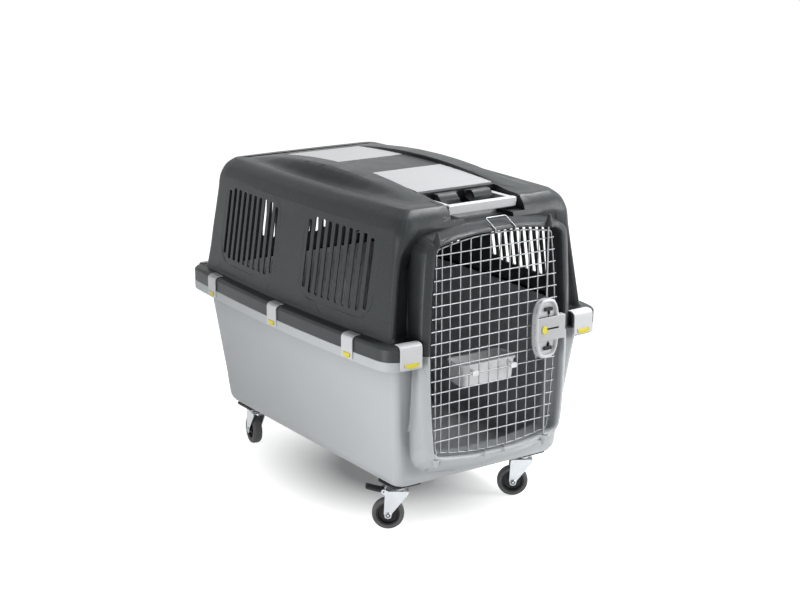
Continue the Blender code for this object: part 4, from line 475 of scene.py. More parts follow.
pale_grey = start_finish("pale_grey_nylon", FITTING_GREY, roughness=0.38)
drift_colour(pale_grey, FITTING_GREY, spread=0.02, scale=30.0)
drift_gloss(pale_grey, low=0.32, high=0.42, scale=90.0)
raise_grain(pale_grey, scale=1500.0, depth=0.0002, strength=0.08, edge=0.0008)
edge_wear_and_highlight(pale_grey, FITTING_GREY_RUBBED, reach=0.0009)
handle_u = moulding("handle", "carry_handle_u", edge=0.0014)
fit_out(handle_u, pale_grey, "carry_handle", "pale_grey_fittings", "handle")

# Rim clips. Ten pale grey clips hook over the upper rim, hinge on the lower one and hold the
# halves together. Each has a yellow acetal lock that slides in a slot near its foot, with a half
# moon thumb plate whose upright grooves hold dark lines of painted shade.
LOCK_YELLOW = (0.760, 0.660, 0.045)
LOCK_TOP = 0.4428
SIDE_LOCK_HALF = 0.0134
END_LOCK_HALF = 0.0188
MOON_EDGE = 0.0028
MOON_DROP = 0.0094
MOON_TURNS = (0.35, 0.70, 1.05, 1.57, 2.09, 2.44, 2.79)
PLATE_BACK = -0.0010
PLATE_FRONT = -0.0001
PLATE_ROUNDING = 0.0004
GROOVE_SHADE = (0.160, 0.125, 0.015)
GROOVE_PITCH = 0.0042
GROOVE_RADIUS = 0.00034
GROOVE_START = 0.0010
GROOVE_END = 0.0018
OUTSIDE_LOCK = 0.05
CLIP_PLACES = [side + "_" + place for side in ("left", "right") for place in ("front", "middle", "rear")]
CLIP_PLACES += [end + "_end_" + side for end in ("front", "rear") for side in ("left", "right")]


def placed_mesh(name, bm):
    """A new piece from finished faces."""
    mesh = bpy.data.meshes.new(name)
    bm.to_mesh(mesh)
    bm.free()
    piece = bpy.data.objects.new(name, mesh)
    bpy.context.scene.collection.objects.link(piece)
    return piece


def lofted(name, rings):
    """A closed piece through rings of as many points each."""
    bm = bmesh.new()
    rows = [[bm.verts.new(point) for point in ring] for ring in rings]
    for row, ahead in zip(rows, rows[1:]):
        for k in range(len(row)):
            after = (k + 1) % len(row)
            bm.faces.new((row[k], row[after], ahead[after], ahead[k]))
    bm.faces.new(rows[0])
    bm.faces.new(rows[-1])
    bmesh.ops.recalc_face_normals(bm, faces=bm.faces)
    return placed_mesh(name, bm)


def moon_outline(half):
    """The thumb plate's outline, as places across and up: a straight top over a half moon."""
    moon = [(half * math.cos(turn), -MOON_EDGE - MOON_DROP * math.sin(turn)) for turn in MOON_TURNS]
    return [(half, 0.0), (half, -MOON_EDGE)] + moon + [(-half, -MOON_EDGE), (-half, 0.0)]


def groove_shade_runs(half, top, along, out):
    """Dark lines of painted shade in the thumb plate's upright grooves, with their fronts flush with its
    face.
    """
    count = round(2 * half / GROOVE_PITCH) - 1
    runs = []
    for k in range(count):
        u = (k - (count - 1) / 2) * GROOVE_PITCH
        base = top + along * u - out * GROOVE_RADIUS
        foot = GROOVE_END + MOON_DROP * math.sqrt(1 - (u / half) ** 2)
        runs.append([base - Vector((0, 0, GROOVE_START)), base - Vector((0, 0, foot))])
    return runs


yellow = start_finish("yellow_acetal", LOCK_YELLOW, roughness=0.34)
drift_colour(yellow, LOCK_YELLOW, spread=0.04, scale=60.0)
drift_gloss(yellow, low=0.26, high=0.38, scale=150.0)
raise_grain(yellow, scale=1500.0, depth=0.0002, strength=0.06, edge=0.0006)
# Painted shade: a dark finish for the lines in the lock's grooves.
groove_shade_finish = start_finish("painted_groove_shade", GROOVE_SHADE, roughness=0.5)
drift_colour(groove_shade_finish, GROOVE_SHADE, spread=0.2, scale=200.0)
joints = {joint["name"]: joint for joint in frame["joints"]}
for place in CLIP_PLACES:
    clip = moulding(place + "_clip", place + "_clip_hook", edge=0.0007)
    fit_out(clip, pale_grey, place + "_clip_body", "pale_grey_fittings", place + "_clip")
    lock = moulding(place + "_lock", place + "_lock_slide", edge=0.0005)
    fit_out(lock, yellow, place + "_lock_body", "yellow_locks", place + "_lock")
    along = Vector(joints[place + "_clip_hinge"]["axis"]).normalized()
    out = along.cross(Vector((0, 0, 1)))
    low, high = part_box(place + "_lock")
    face = face_tree(place + "_lock").ray_cast((low + high) / 2 + out * OUTSIDE_LOCK, -out)[0]
    top = Vector((face.x, face.y, LOCK_TOP))
    half = END_LOCK_HALF if "end" in place else SIDE_LOCK_HALF
    thumb_plate = lofted(place + "_lock_thumb_plate", [
        [top + along * u + out * depth + Vector((0, 0, v)) for u, v in moon_outline(half)]
        for depth in (PLATE_BACK, PLATE_FRONT)
    ])
    thumb_plate.modifiers.new("rounded", "BEVEL").width = PLATE_ROUNDING
    fit_out(thumb_plate, yellow, place + "_lock_body", "yellow_locks")
    grooves = laid_wires(place + "_lock_grooves", groove_shade_runs(half, top, along, out), GROOVE_RADIUS, rings=2)
    fit_out(grooves, groove_shade_finish, place + "_lock_body", "yellow_locks")

# Wire door. Zinc plated steel wire, spot welded: a bowed border, a straight hinge wire whose ends
# turn in the pointed bosses, and crossed wires with the level ones in front. A loop bears on the
# hood over the doorway and two hooks bear on its sill, so that the door can't be pushed in.
DOOR_MIDDLE = 0.447
DOOR_Y = -0.4412
BORDER_WIRE = 0.002
THIN_WIRE = 0.0015
BORDER_HALF_WIDTH = 0.170
BORDER_HALF_HEIGHT = 0.2505
BORDER_RISE = 0.020
SIDE_BOW = 0.020
SIDE_BOW_REACH = 0.2525
BORDER_CORNER = (0.1527, 0.2344)
BORDER_BEND = 0.011
BOTTOM_STEP = 0.0255
BOTTOM_POINTS = 13
SIDE_START = -0.215
SIDE_STEP = 0.043
SIDE_POINTS = 11
BEND_STEPS = 5
BEND_SHARE = 0.45
HINGE_WIRE_X = -0.166
PIN_Y = -0.4462
SURROUND_HALF_WIDTH = 0.188
SURROUND_HALF_HEIGHT = 0.2585
PIN_IN_BOSS = 0.0125
CRANK_START = 0.002
CRANK_END = 0.009
CRANK_BEND = 0.004
FRONT_WIRE_Y = -0.4582
LOOP_SIDES = (-0.018, 0.037)
LOOP_FOOT = 0.2503
LOOP_RISE = (0.2545, 0.2615)
LOOP_TOP_Y = -0.4204
LOOP_TOP_Z = 0.7275
LOOP_BEND = 0.005
HOOK_PLACES = (-0.038, 0.020)
HOOK_START = 0.003
HOOK_DROP = 0.0158
HOOK_BEND = 0.004
UPRIGHT_Y = -0.4450
LEVEL_Y = -0.4475
UPRIGHT_PLACES = [-0.153] + [-0.130 + 0.0272 * k for k in range(11)]
LEVEL_PLACES = [-0.205 + 0.0284 * k for k in range(16)]
PAST_BORDER = 0.0008
LEFT_OF_DOOR = -0.3
WELD_Y = -0.4463
WELD_SIZE = (0.0019, 0.0010, 0.0019)
WELD_MARGIN = 0.004
ZINC = (0.520, 0.542, 0.565)
WIRE_ZINC = (0.300, 0.310, 0.318)


def border_height(x):
    """How far the bowed border lies above or below the door's middle."""
    return BORDER_HALF_HEIGHT - BORDER_RISE * (x / BORDER_HALF_WIDTH) ** 2


def border_reach(z):
    """How far to the right the bowed border lies."""
    return BORDER_HALF_WIDTH - SIDE_BOW * (z / SIDE_BOW_REACH) ** 2


def eased_route(points, radius):
    """A route whose corners are bent round instead of kinked."""
    points = [Vector(p) for p in points]
    route = [points[0]]
    for before, corner, after in zip(points, points[1:], points[2:]):
        into, away = before - corner, after - corner
        cut = min(radius, into.length * BEND_SHARE, away.length * BEND_SHARE)
        start, end = corner + into.normalized() * cut, corner + away.normalized() * cut
        for k in range(BEND_STEPS + 1):
            t = k / BEND_STEPS
            route.append(start * (1 - t) ** 2 + corner * 2 * t * (1 - t) + end * t ** 2)
    return route + [points[-1]]


zinc = start_finish("bright_zinc_plate", ZINC, roughness=0.30, metallic=1.0)
drift_colour(zinc, ZINC, spread=0.04, scale=40.0)
drift_gloss(zinc, low=0.26, high=0.36, scale=120.0)
raise_grain(zinc, scale=900.0, depth=0.0002, strength=0.06)
wire_zinc = start_finish("dull_zinc_wire", WIRE_ZINC, roughness=0.42, metallic=1.0)
drift_colour(wire_zinc, WIRE_ZINC, spread=0.08, scale=60.0)
drift_gloss(wire_zinc, low=0.34, high=0.50, scale=140.0)
raise_grain(wire_zinc, scale=900.0, depth=0.0002, strength=0.08)

bottom = [(x, -border_height(x)) for x in [HINGE_WIRE_X + BOTTOM_STEP * k for k in range(BOTTOM_POINTS)]]
right = [(border_reach(z), z) for z in [SIDE_START + SIDE_STEP * k for k in range(SIDE_POINTS)]]
corner_x, corner_z = BORDER_CORNER
outline = bottom + [(corner_x, -corner_z)] + right + [(corner_x, corner_z)]
outline += [(x, -z) for x, z in reversed(bottom)]
border = eased_route([(x, DOOR_Y, DOOR_MIDDLE + z) for x, z in outline], BORDER_BEND)
pin_reach = SURROUND_HALF_HEIGHT - BORDER_RISE * (HINGE_WIRE_X / SURROUND_HALF_WIDTH) ** 2 + PIN_IN_BOSS
side_end = border_height(HINGE_WIRE_X)
pin_half = [(PIN_Y, pin_reach), (PIN_Y, side_end + CRANK_START), (DOOR_Y, side_end - CRANK_END)]
hinge_points = [(HINGE_WIRE_X, y, DOOR_MIDDLE - z) for y, z in pin_half]
hinge_points += [(HINGE_WIRE_X, y, DOOR_MIDDLE + z) for y, z in reversed(pin_half)]
border_runs = [border, eased_route(hinge_points, CRANK_BEND)]
border_wires = laid_wires("door_border_wires", border_runs, BORDER_WIRE, rings=4)
fit_out(border_wires, wire_zinc, "door", "zinc_plate", "door_frame")

loop_side = [(DOOR_Y, DOOR_MIDDLE + LOOP_FOOT)]
loop_side += [(FRONT_WIRE_Y, DOOR_MIDDLE + rise) for rise in LOOP_RISE]
loop_side += [(LOOP_TOP_Y, LOOP_TOP_Z)]
loop_points = [(LOOP_SIDES[0], y, z) for y, z in loop_side]
loop_points += [(LOOP_SIDES[1], y, z) for y, z in reversed(loop_side)]
bearing_runs = [eased_route(loop_points, LOOP_BEND)]
for x in HOOK_PLACES:
    edge_z = DOOR_MIDDLE - border_height(x)
    hook = [(DOOR_Y, edge_z), (FRONT_WIRE_Y, edge_z - HOOK_START), (FRONT_WIRE_Y, edge_z - HOOK_DROP)]
    bearing_runs.append(eased_route([(x, y, z) for y, z in hook], HOOK_BEND))
bearing_wires = laid_wires("door_loop_and_hooks", bearing_runs, THIN_WIRE, rings=4)
fit_out(bearing_wires, wire_zinc, "door", "zinc_plate")

uprights = []
for x in UPRIGHT_PLACES:
    reach = border_height(x) + PAST_BORDER
    uprights.append([(x, UPRIGHT_Y, DOOR_MIDDLE - reach), (x, UPRIGHT_Y, DOOR_MIDDLE + reach)])
grille_faces = face_tree("door_grille")
levels = []
for z in LEVEL_PLACES:
    height = DOOR_MIDDLE + z
    left = grille_faces.ray_cast(Vector((LEFT_OF_DOOR, LEVEL_Y, height)), Vector((1, 0, 0)))[0].x
    levels.append([(left, LEVEL_Y, height), (border_reach(z) + PAST_BORDER, LEVEL_Y, height)])
grille_wires = laid_wires("door_crossed_wires", uprights + levels, THIN_WIRE)
fit_out(grille_wires, wire_zinc, "door", "zinc_plate", "door_grille")

welds = bmesh.new()
for x in UPRIGHT_PLACES:
    for z in LEVEL_PLACES:
        if abs(z) < border_height(x) - WELD_MARGIN:
            spot = Matrix.Translation((x, WELD_Y, DOOR_MIDDLE + z)) @ Matrix.Diagonal((*WELD_SIZE, 1.0))
            bmesh.ops.create_icosphere(welds, subdivisions=1, radius=1.0, matrix=spot)
weld_spots = placed_mesh("door_weld_spots", welds)
weld_spots.data.shade_smooth()
fit_out(weld_spots, wire_zinc, "door", "zinc_plate")

# Latch. A pale oval nylon housing clipped on the crossed wires, with a thumb pocket above and below
# its middle, which a grained grey strap covers. Two black T tabs slide in the pockets and carry zinc
# rods that run into the doorway's pointed bosses; the yellow button in the strap's slot locks them.
BLACK = (0.008, 0.008, 0.009)
STRAP_GREY = (0.500, 0.512, 0.522)
HOUSING_MIDDLE = (0.131, 0.4595)
HOUSING_HALF = (0.0345, 0.070)
OVAL_POWERS = (0.62, 0.78)
HOUSING_BACK = -0.4493
HOUSING_FRONT = -0.4663
HOUSING_EDGE = 0.0008
HOUSING_SHOULDER = (0.0044, 0.006)
SHOULDER_RINGS = 8
RING_POINTS = 72
POCKET_FLOOR = -0.4603
# The pocket's rings, each as its depth behind the front or the floor, and how far it is grown.
POCKET_MOUTH = ((-0.002, -0.0036), (0.0, -0.0052), (0.0008, -0.0062), (0.0022, -0.0072))
POCKET_FOOT = ((-0.0012, -0.0078), (0.0, -0.0086))
STRAP_LEFT = 0.1038
STRAP_RIGHT = 0.182
STRAP_HALF = 0.028
STRAP_PROUD = 0.0004
STRAP_CLEAR = 0.0002
SLOT_LEFT = 0.1122
SLOT_RIGHT = 0.1625
SLOT_HALF_HEIGHT = 0.002
SLOT_DEPTH = 0.006
CUT_PAST = 0.01
BAR_CUTTER_HALF = 0.05
BAR_CUTTER_DEPTH = (-0.48, -0.44)
ROD_X = 0.137
ROD_Y = -0.4517
ROD_RADIUS = 0.0022
ROD_INSIDE = 0.014
ROD_WAY_HALF = 0.0027
ROD_WAY_DEPTH = 0.0065
ROD_WAY_REACH = 0.09
TAB_WINDOW = (0.0330, 0.0507)
TAB_WINDOW_BACK = 0.0063
TAB_MIDDLE = 0.046
TAB_HALF = 0.004
TAB_LEFT = 0.014
TAB_RIGHT = 0.008
TAB_FRONT = -0.4653
TAB_CLEAR = 0.0003
TAB_RIDGES = 4
TAB_RIDGE_PITCH = 0.0052
TAB_RIDGE_LEFT = 0.0120
TAB_RIDGE_RIGHT = 0.0106
TAB_RIDGE_DEPTH = (-0.4656, -0.4650)
TAB_RIDGE_HALF = 0.0030
STEM_HALF = 0.0012
STEM_FRONT = -0.4641
STEM_REACH = (0.0335, 0.0420)


def oval_point(turn, grow):
    """A place on the housing's outline, counted from its middle."""
    cos, sin = math.cos(turn), math.sin(turn)
    x = (HOUSING_HALF[0] + grow) * math.copysign(abs(cos) ** OVAL_POWERS[0], cos)
    z = (HOUSING_HALF[1] + grow) * math.copysign(abs(sin) ** OVAL_POWERS[1], sin)
    return x, z


def oval_ring(y, grow):
    """One ring of the housing's outline at a depth, grown or drawn in."""
    ring = []
    for k in range(RING_POINTS):
        x, z = oval_point(2 * math.pi * (k + 0.5) / RING_POINTS, grow)
        ring.append(Vector((HOUSING_MIDDLE[0] + x, y, HOUSING_MIDDLE[1] + z)))
    return ring


def about(middle, half):
    """A span with its middle and half its length."""
    return middle - half, middle + half


def boxes(name, blocks):
    """Plain boxes in one piece, each from its span across, in depth and up."""
    bm = bmesh.new()
    for block in blocks:
        low, high = [Vector(corner) for corner in zip(*block)]
        shape = Matrix.Translation((high + low) / 2) @ Matrix.Diagonal((*(high - low), 1.0))
        corners = bmesh.ops.create_cube(bm, size=1.0)["verts"]
        bmesh.ops.transform(bm, matrix=shape, verts=corners)
    return placed_mesh(name, bm)


def cut_away(piece, cutter):
    """Cuts one piece out of another, and clears the cutter away."""
    cut = piece.modifiers.new("cut", "BOOLEAN")
    cut.operation = "DIFFERENCE"
    cut.solver = "EXACT"
    cut.object = cutter
    shaped = bpy.data.meshes.new_from_object(piece.evaluated_get(bpy.context.evaluated_depsgraph_get()))
    piece.modifiers.clear()
    piece.data = shaped
    bpy.data.objects.remove(cutter)


def round_off(piece, width, steps=3):
    """Rounded edges on a piece made here, shaded smooth."""
    edges = piece.modifiers.new("rounded", "BEVEL")
    edges.width = width
    edges.segments = steps
    edges.limit_method = "ANGLE"
    edges.angle_limit = math.radians(30.0)
    smooth_over(piece, sharp=40.0)
    return piece


black = start_finish("black_nylon", BLACK, roughness=0.45, specular=0.35)
drift_colour(black, BLACK, spread=0.15, scale=40.0)
drift_gloss(black, low=0.34, high=0.50, scale=120.0)
raise_grain(black, scale=1200.0, depth=0.0003, strength=0.12, edge=0.0008)
strap_grey = start_finish("grained_grey_strap", STRAP_GREY, roughness=0.40)
drift_colour(strap_grey, STRAP_GREY, spread=0.10, scale=900.0)
drift_gloss(strap_grey, low=0.34, high=0.48, scale=300.0)
raise_grain(strap_grey, scale=1400.0, depth=0.0004, strength=0.20, edge=0.0006)

across, up = HOUSING_MIDDLE
strap_span = about(up, STRAP_HALF)
rod_way = about(ROD_X, ROD_WAY_HALF)
slot_depth = (HOUSING_FRONT - CUT_PAST, HOUSING_FRONT + SLOT_DEPTH)
slot_cut = ((SLOT_LEFT, SLOT_RIGHT), slot_depth, about(up, SLOT_HALF_HEIGHT))
case_rings = [oval_ring(HOUSING_BACK, -HOUSING_EDGE), oval_ring(HOUSING_BACK - HOUSING_EDGE, 0.0)]
shoulder_in, shoulder_back = HOUSING_SHOULDER
for k in range(SHOULDER_RINGS):
    turn = math.radians(90 * k / (SHOULDER_RINGS - 1))
    ring_y = HOUSING_FRONT + shoulder_back * (1 - math.sin(turn))
    case_rings.append(oval_ring(ring_y, -shoulder_in * (1 - math.cos(turn))))
housing = lofted("latch_case", case_rings)
pocket_rings = [oval_ring(HOUSING_FRONT + depth, grow) for depth, grow in POCKET_MOUTH]
pocket_rings += [oval_ring(POCKET_FLOOR + depth, grow) for depth, grow in POCKET_FOOT]
pocket = lofted("pocket", pocket_rings)
cut_away(pocket, boxes("bar", [(about(across, BAR_CUTTER_HALF), BAR_CUTTER_DEPTH, strap_span)]))
cut_away(housing, pocket)
cut_away(housing, boxes("ways", [
    (rod_way, (HOUSING_BACK - ROD_WAY_DEPTH, HOUSING_BACK + CUT_PAST), about(up, ROD_WAY_REACH)), slot_cut,
]))
for side in (-1, 1):
    window_span = sorted(up + side * place for place in TAB_WINDOW)
    window_depth = (HOUSING_FRONT - CUT_PAST, HOUSING_BACK - TAB_WINDOW_BACK)
    cut_away(housing, boxes("window", [(rod_way, window_depth, window_span)]))
smooth_over(housing, sharp=34.0)
fit_out(housing, pale_grey, "door", "pale_grey_fittings", "latch_housing")
strap_depth = (HOUSING_FRONT - STRAP_PROUD, HOUSING_BACK - STRAP_CLEAR)
strap = boxes("latch_strap", [((STRAP_LEFT, STRAP_RIGHT), strap_depth, strap_span)])
round_off(strap, width=0.0012)
cut_away(strap, boxes("slot", [slot_cut]))
smooth_over(strap, sharp=40.0)
fit_out(strap, strap_grey, "door", "pale_grey_fittings")
button = moulding("latch_lock_button", "latch_button", edge=0.0006)
fit_out(button, yellow, "latch_lock", "yellow_locks", "latch_lock_button")

for side, end in ((1, "top"), (-1, "bottom")):
    centre = up + side * TAB_MIDDLE
    tab_span = (ROD_X - TAB_LEFT, ROD_X + TAB_RIGHT)
    tab_blocks = [(tab_span, (TAB_FRONT, POCKET_FLOOR - TAB_CLEAR), about(centre, TAB_HALF))]
    for k in range(TAB_RIDGES):
        step = TAB_RIDGE_PITCH * k
        ridge_span = (ROD_X - TAB_RIDGE_LEFT + step, ROD_X - TAB_RIDGE_RIGHT + step)
        tab_blocks.append((ridge_span, TAB_RIDGE_DEPTH, about(centre, TAB_RIDGE_HALF)))
    stem_span = sorted(up + side * place for place in STEM_REACH)
    tab_blocks.append((about(ROD_X, STEM_HALF), (STEM_FRONT, ROD_Y), stem_span))
    tab = round_off(boxes(f"latch_{end}_thumb_tab", tab_blocks), width=0.0005, steps=2)
    fit_out(tab, black, "latch_" + end, "black_plastic", f"latch_{end}_tab")
    low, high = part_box(f"latch_{end}_rod")
    reach = (low.z - ROD_INSIDE, high.z) if side > 0 else (low.z, high.z + ROD_INSIDE)
    rod_run = [(ROD_X, ROD_Y, height) for height in reach]
    rod = laid_wires(f"latch_{end}_bar", [rod_run], ROD_RADIUS, rings=4)
    fit_out(rod, wire_zinc, "latch_" + end, "zinc_plate", f"latch_{end}_rod")

# Grip ribs and slot linings of the latch. Fine black ribs set in groups round the housing's left
# edge give grip, and black nylon lines the strap's slot and the ways of the tabs' stems.
RIB_GROUPS = (112, 144, 179, 214, 246)
RIBS_IN_GROUP = 4
RIB_STEP = 3.6
RIB_SIZE = (0.0010, 0.0032, 0.0009)
RIB_SUNK = -0.0003
RIB_DEPTH = 0.0048
RIB_ROUNDING = 0.0002
TINY_TURN = 0.01
LINING_CLEAR = 0.0001
LINING_PROUD = 0.0002
LINING_HALF = (0.0018, 0.0021)
LINING_FLOOR = (0.0056, 0.0062)
LINING_FLOOR_HALF = 0.0019
STEM_LINING_HALF = 0.0013
STEM_LINING_END = 0.0331

rib_faces = bmesh.new()
for group in RIB_GROUPS:
    for k in range(RIBS_IN_GROUP):
        turn = math.radians(group + RIB_STEP * (k - (RIBS_IN_GROUP - 1) / 2))
        x, z = oval_point(turn, RIB_SUNK)
        ahead_x, ahead_z = oval_point(turn + TINY_TURN, RIB_SUNK)
        facing = math.atan2(ahead_z - z, ahead_x - x)
        shape = Matrix.Translation((across + x, HOUSING_FRONT + RIB_DEPTH, up + z))
        shape @= Matrix.Rotation(-facing, 4, "Y") @ Matrix.Diagonal((*RIB_SIZE, 1.0))
        rib = bmesh.ops.create_cube(rib_faces, size=1.0)["verts"]
        bmesh.ops.transform(rib_faces, matrix=shape, verts=rib)
ribs = placed_mesh("latch_grip_ribs", rib_faces)
ribs.modifiers.new("rounded", "BEVEL").width = RIB_ROUNDING
fit_out(ribs, black, "door", "black_plastic")

lining_span = (SLOT_LEFT + LINING_CLEAR, SLOT_RIGHT - LINING_CLEAR)
lining_depth = (HOUSING_FRONT - LINING_PROUD, HOUSING_FRONT + SLOT_DEPTH - LINING_CLEAR)
floor_depth = [HOUSING_FRONT + depth for depth in LINING_FLOOR]
stem_way = (about(ROD_X, STEM_LINING_HALF), about(POCKET_FLOOR, LINING_PROUD))
inner, outer = LINING_HALF
linings = boxes("latch_slot_linings", [
    (lining_span, floor_depth, about(up, LINING_FLOOR_HALF)),
    (lining_span, lining_depth, (up - outer, up - inner)),
    (lining_span, lining_depth, (up + inner, up + outer)),
    (*stem_way, (up + STRAP_HALF, up + STEM_LINING_END)),
    (*stem_way, (up - STEM_LINING_END, up - STRAP_HALF)),
])
fit_out(linings, black, "door", "black_plastic")

# Food bowl. Clear polystyrene, moulded with upright flutes in its walls and two T hooks that hang
# on a level wire of the door. Its edges are lightened to white as a painted highlight. It is stored empty.
BOWL_TINT = (0.880, 0.895, 0.905)
BOWL_EDGE_HIGHLIGHT = (1.000, 1.000, 1.000)
BOWL_CLEARNESS = 0.12
BOWL_IOR = 1.49
BOWL_COAT = 0.3

clear = start_finish("clear_polystyrene", BOWL_TINT, roughness=0.16)
shader_of(clear).inputs["Transmission Weight"].default_value = BOWL_CLEARNESS
shader_of(clear).inputs["IOR"].default_value = BOWL_IOR
shader_of(clear).inputs["Coat Weight"].default_value = BOWL_COAT
drift_colour(clear, BOWL_TINT, spread=0.02, scale=30.0)
raise_grain(clear, scale=300.0, depth=0.0003, strength=0.06, edge=0.0006)
# Painted highlight: the bowl's edges are lightened to white.
edge_wear_and_highlight(clear, BOWL_EDGE_HIGHLIGHT, reach=0.0022)
bowl = moulding("food_bowl", "clear_food_bowl", edge=0.0006, sharp=30.0)
fit_out(bowl, clear, "bowl", "clear_bowl", "food_bowl")

# Swivel casters. A black mounting plate under each corner, a pressed zinc plated fork on a ball
# race, and a grey rubber tyre on a black nylon hub that turns on a riveted axle. The front left and
# rear right ones have a black brake pedal. Profiles are given as radius and height.
TYRE_GREY = (0.105, 0.105, 0.108)
CORNERS = [(end, side) for end in ("front", "rear") for side in ("left", "right")]
BRAKED = (("front", "left"), ("rear", "right"))
SEAM_GAP = 0.00001
TYRE_PROFILE = [
    (0.0273, 0.0108), (0.0290, 0.0113), (0.0310, 0.0118), (0.0325, 0.0120), (0.0345, 0.0112),
    (0.0360, 0.0096), (0.0369, 0.0075), (0.0374, 0.0045), (0.0375, 0.0010), (0.0373, 0.0004),
]
HUB_PROFILE = [
    (0.0043, 0.0105), (0.0082, 0.0105), (0.0092, 0.0098), (0.0096, 0.0048), (0.0106, 0.0036),
    (0.0205, 0.0036), (0.0218, 0.0044), (0.0226, 0.0096), (0.0232, 0.0105), (0.0262, 0.0105),
    (0.0270, 0.0098),
]
RIVET_PROFILE = [
    (0.0, 0.0196), (0.0022, 0.0198), (0.0026, 0.0204), (0.0044, 0.0202), (0.0060, 0.0192),
    (0.0067, 0.0180), (0.0067, 0.0173), (0.0040, 0.0173),
]
RING_PROFILE = [(0.0030, 0.0199), (0.0032, 0.0206), (0.0050, 0.0203), (0.0052, 0.0196)]
RACE_PROFILE = [
    (0.0195, 0.1112), (0.0225, 0.1110), (0.0232, 0.1100), (0.0225, 0.1088), (0.0212, 0.1082),
    (0.0195, 0.1080), (0.0195, 0.1112),
]


def turned(name, profile, steps):
    """A piece turned round Z from its profile."""
    bm = bmesh.new()
    verts = [bm.verts.new((radius, 0.0, height)) for radius, height in profile]
    for first, second in zip(verts, verts[1:]):
        bm.edges.new((first, second))
    bmesh.ops.spin(
        bm, geom=bm.verts[:] + bm.edges[:], cent=(0, 0, 0), axis=(0, 0, 1), angle=2 * math.pi,
        steps=steps, use_merge=True,
    )
    bmesh.ops.remove_doubles(bm, verts=bm.verts, dist=SEAM_GAP)
    bmesh.ops.recalc_face_normals(bm, faces=bm.faces)
    piece = placed_mesh(name, bm)
    smooth_over(piece, sharp=30.0)
    return piece


def set_in_place(piece, spot, axis):
    """Turns a piece made round Z to its axle and moves it there, in its mesh."""
    turn = Vector((0, 0, 1)).rotation_difference(Vector(axis)).to_matrix().to_4x4()
    piece.data.transform(Matrix.Translation(Vector(spot)) @ turn)
    return piece


def mirrored(profile, closed=True):
    """A half profile and its mirror image over the wheel's middle, closed into a ring if asked."""
    whole = profile + [(radius, -height) for radius, height in reversed(profile)]
    return whole + profile[:1] if closed else whole


tyre_rubber = start_finish("grey_thermoplastic_rubber", TYRE_GREY, roughness=0.62)
drift_colour(tyre_rubber, TYRE_GREY, spread=0.12, scale=60.0)
drift_gloss(tyre_rubber, low=0.55, high=0.72, scale=90.0)
raise_grain(tyre_rubber, scale=900.0, depth=0.0003, strength=0.14)
for end, side in CORNERS:
    place = end + "_" + side
    spin = joints[place + "_wheel_spin"]
    on_axle = (spin["pos_m"], Vector(spin["axis"]).normalized())
    swivel_x, swivel_y = joints[place + "_swivel_joint"]["pos_m"][:2]
    tyre = set_in_place(turned(place + "_tread", mirrored(TYRE_PROFILE), steps=64), *on_axle)
    fit_out(tyre, tyre_rubber, place + "_wheel", "grey_tyre", place + "_tyre")
    hub = set_in_place(turned(place + "_hub_moulding", mirrored(HUB_PROFILE), steps=48), *on_axle)
    fit_out(hub, black, place + "_wheel", "black_plastic", place + "_hub")
    rivet = turned(place + "_axle_rivet", mirrored(RIVET_PROFILE, closed=False), steps=32)
    set_in_place(rivet, *on_axle)
    fit_out(rivet, zinc, place + "_swivel", "zinc_plate", place + "_axle")
    ring = set_in_place(turned(place + "_axle_ring", mirrored(RING_PROFILE), steps=24), *on_axle)
    fit_out(ring, black, place + "_swivel", "black_plastic")
    fork = moulding(place + "_fork", place + "_pressed_fork", edge=0.0006, sharp=34.0)
    fit_out(fork, zinc, place + "_swivel", "zinc_plate", place + "_fork")
    plate = moulding(place + "_caster_plate", place + "_mounting_plate", edge=0.0008)
    fit_out(plate, black, "crate", "black_plastic", place + "_caster_plate")
    race = turned(place + "_ball_race", RACE_PROFILE, steps=40)
    set_in_place(race, (swivel_x, swivel_y, 0.0), (0, 0, 1))
    fit_out(race, zinc, place + "_swivel", "zinc_plate")
    if (end, side) in BRAKED:
        pedal = moulding(place + "_brake_pedal", place + "_brake_tread", edge=0.0009)
        fit_out(pedal, black, place + "_brake", "black_plastic", place + "_brake_pedal")

# Studio. A pale seamless floor under a white room, a wide soft lamp overhead, two smaller ones from
# the left and from the front right, and a camera set where the photograph was taken. The floor's
# paper glows for seen rays: it fades to white away from the crate and is dim over its footprint as a
# painted shadow, on top of the shadow that the lamps cast.
FLOOR_GREY = (0.60, 0.60, 0.60, 1.0)
FLOOR_HALF = 14.0
FLOOR_DROP = 0.0003
FOOTPRINT_SCALE = (1.5, 1.1, 1.0)
GLOW_STARTS = 0.15
GLOW_FULL = 0.46
GLOW_LEAST = 0.05
GLOW_MOST = 0.90
ROOM_TINT = (0.97, 0.98, 1.0, 1.0)
ROOM_LIGHT = 0.19
WHITE_STRENGTH = 1.0
CAMERA_BOOST = 0.35
CAMERA_PLACE = (-2.1901, -3.2347, 1.5156)
CAMERA_AZIMUTH = math.radians(-34.632)
CAMERA_ELEVATION = math.radians(15.366)
CAMERA_ROLL = math.radians(0.142)
SENSOR = 36.0
FOCAL_PIXELS = 1649.05
PHOTO_PIXELS = 800
NEAREST_SEEN = 0.01
FARTHEST_SEEN = 100.0


def worked_out(tree, operation, *values, held=False):
    """The result of one sum on sockets and plain numbers, held between 0 and 1 if asked."""
    node = tree.nodes.new("ShaderNodeMath")
    node.operation = operation
    node.use_clamp = held
    for socket, value in zip(node.inputs, values):
        if isinstance(value, float):
            socket.default_value = value
        else:
            tree.links.new(value, socket)
    return node.outputs[0]


def seen_rays(tree, held=False):
    """1 for rays that show a surface, straight, mirrored or through the bowl, and 0 for its light."""
    path = tree.nodes.new("ShaderNodeLightPath").outputs
    seen = worked_out(tree, "ADD", path["Is Camera Ray"], path["Is Glossy Ray"])
    return worked_out(tree, "ADD", seen, path["Is Transmission Ray"], held=held)


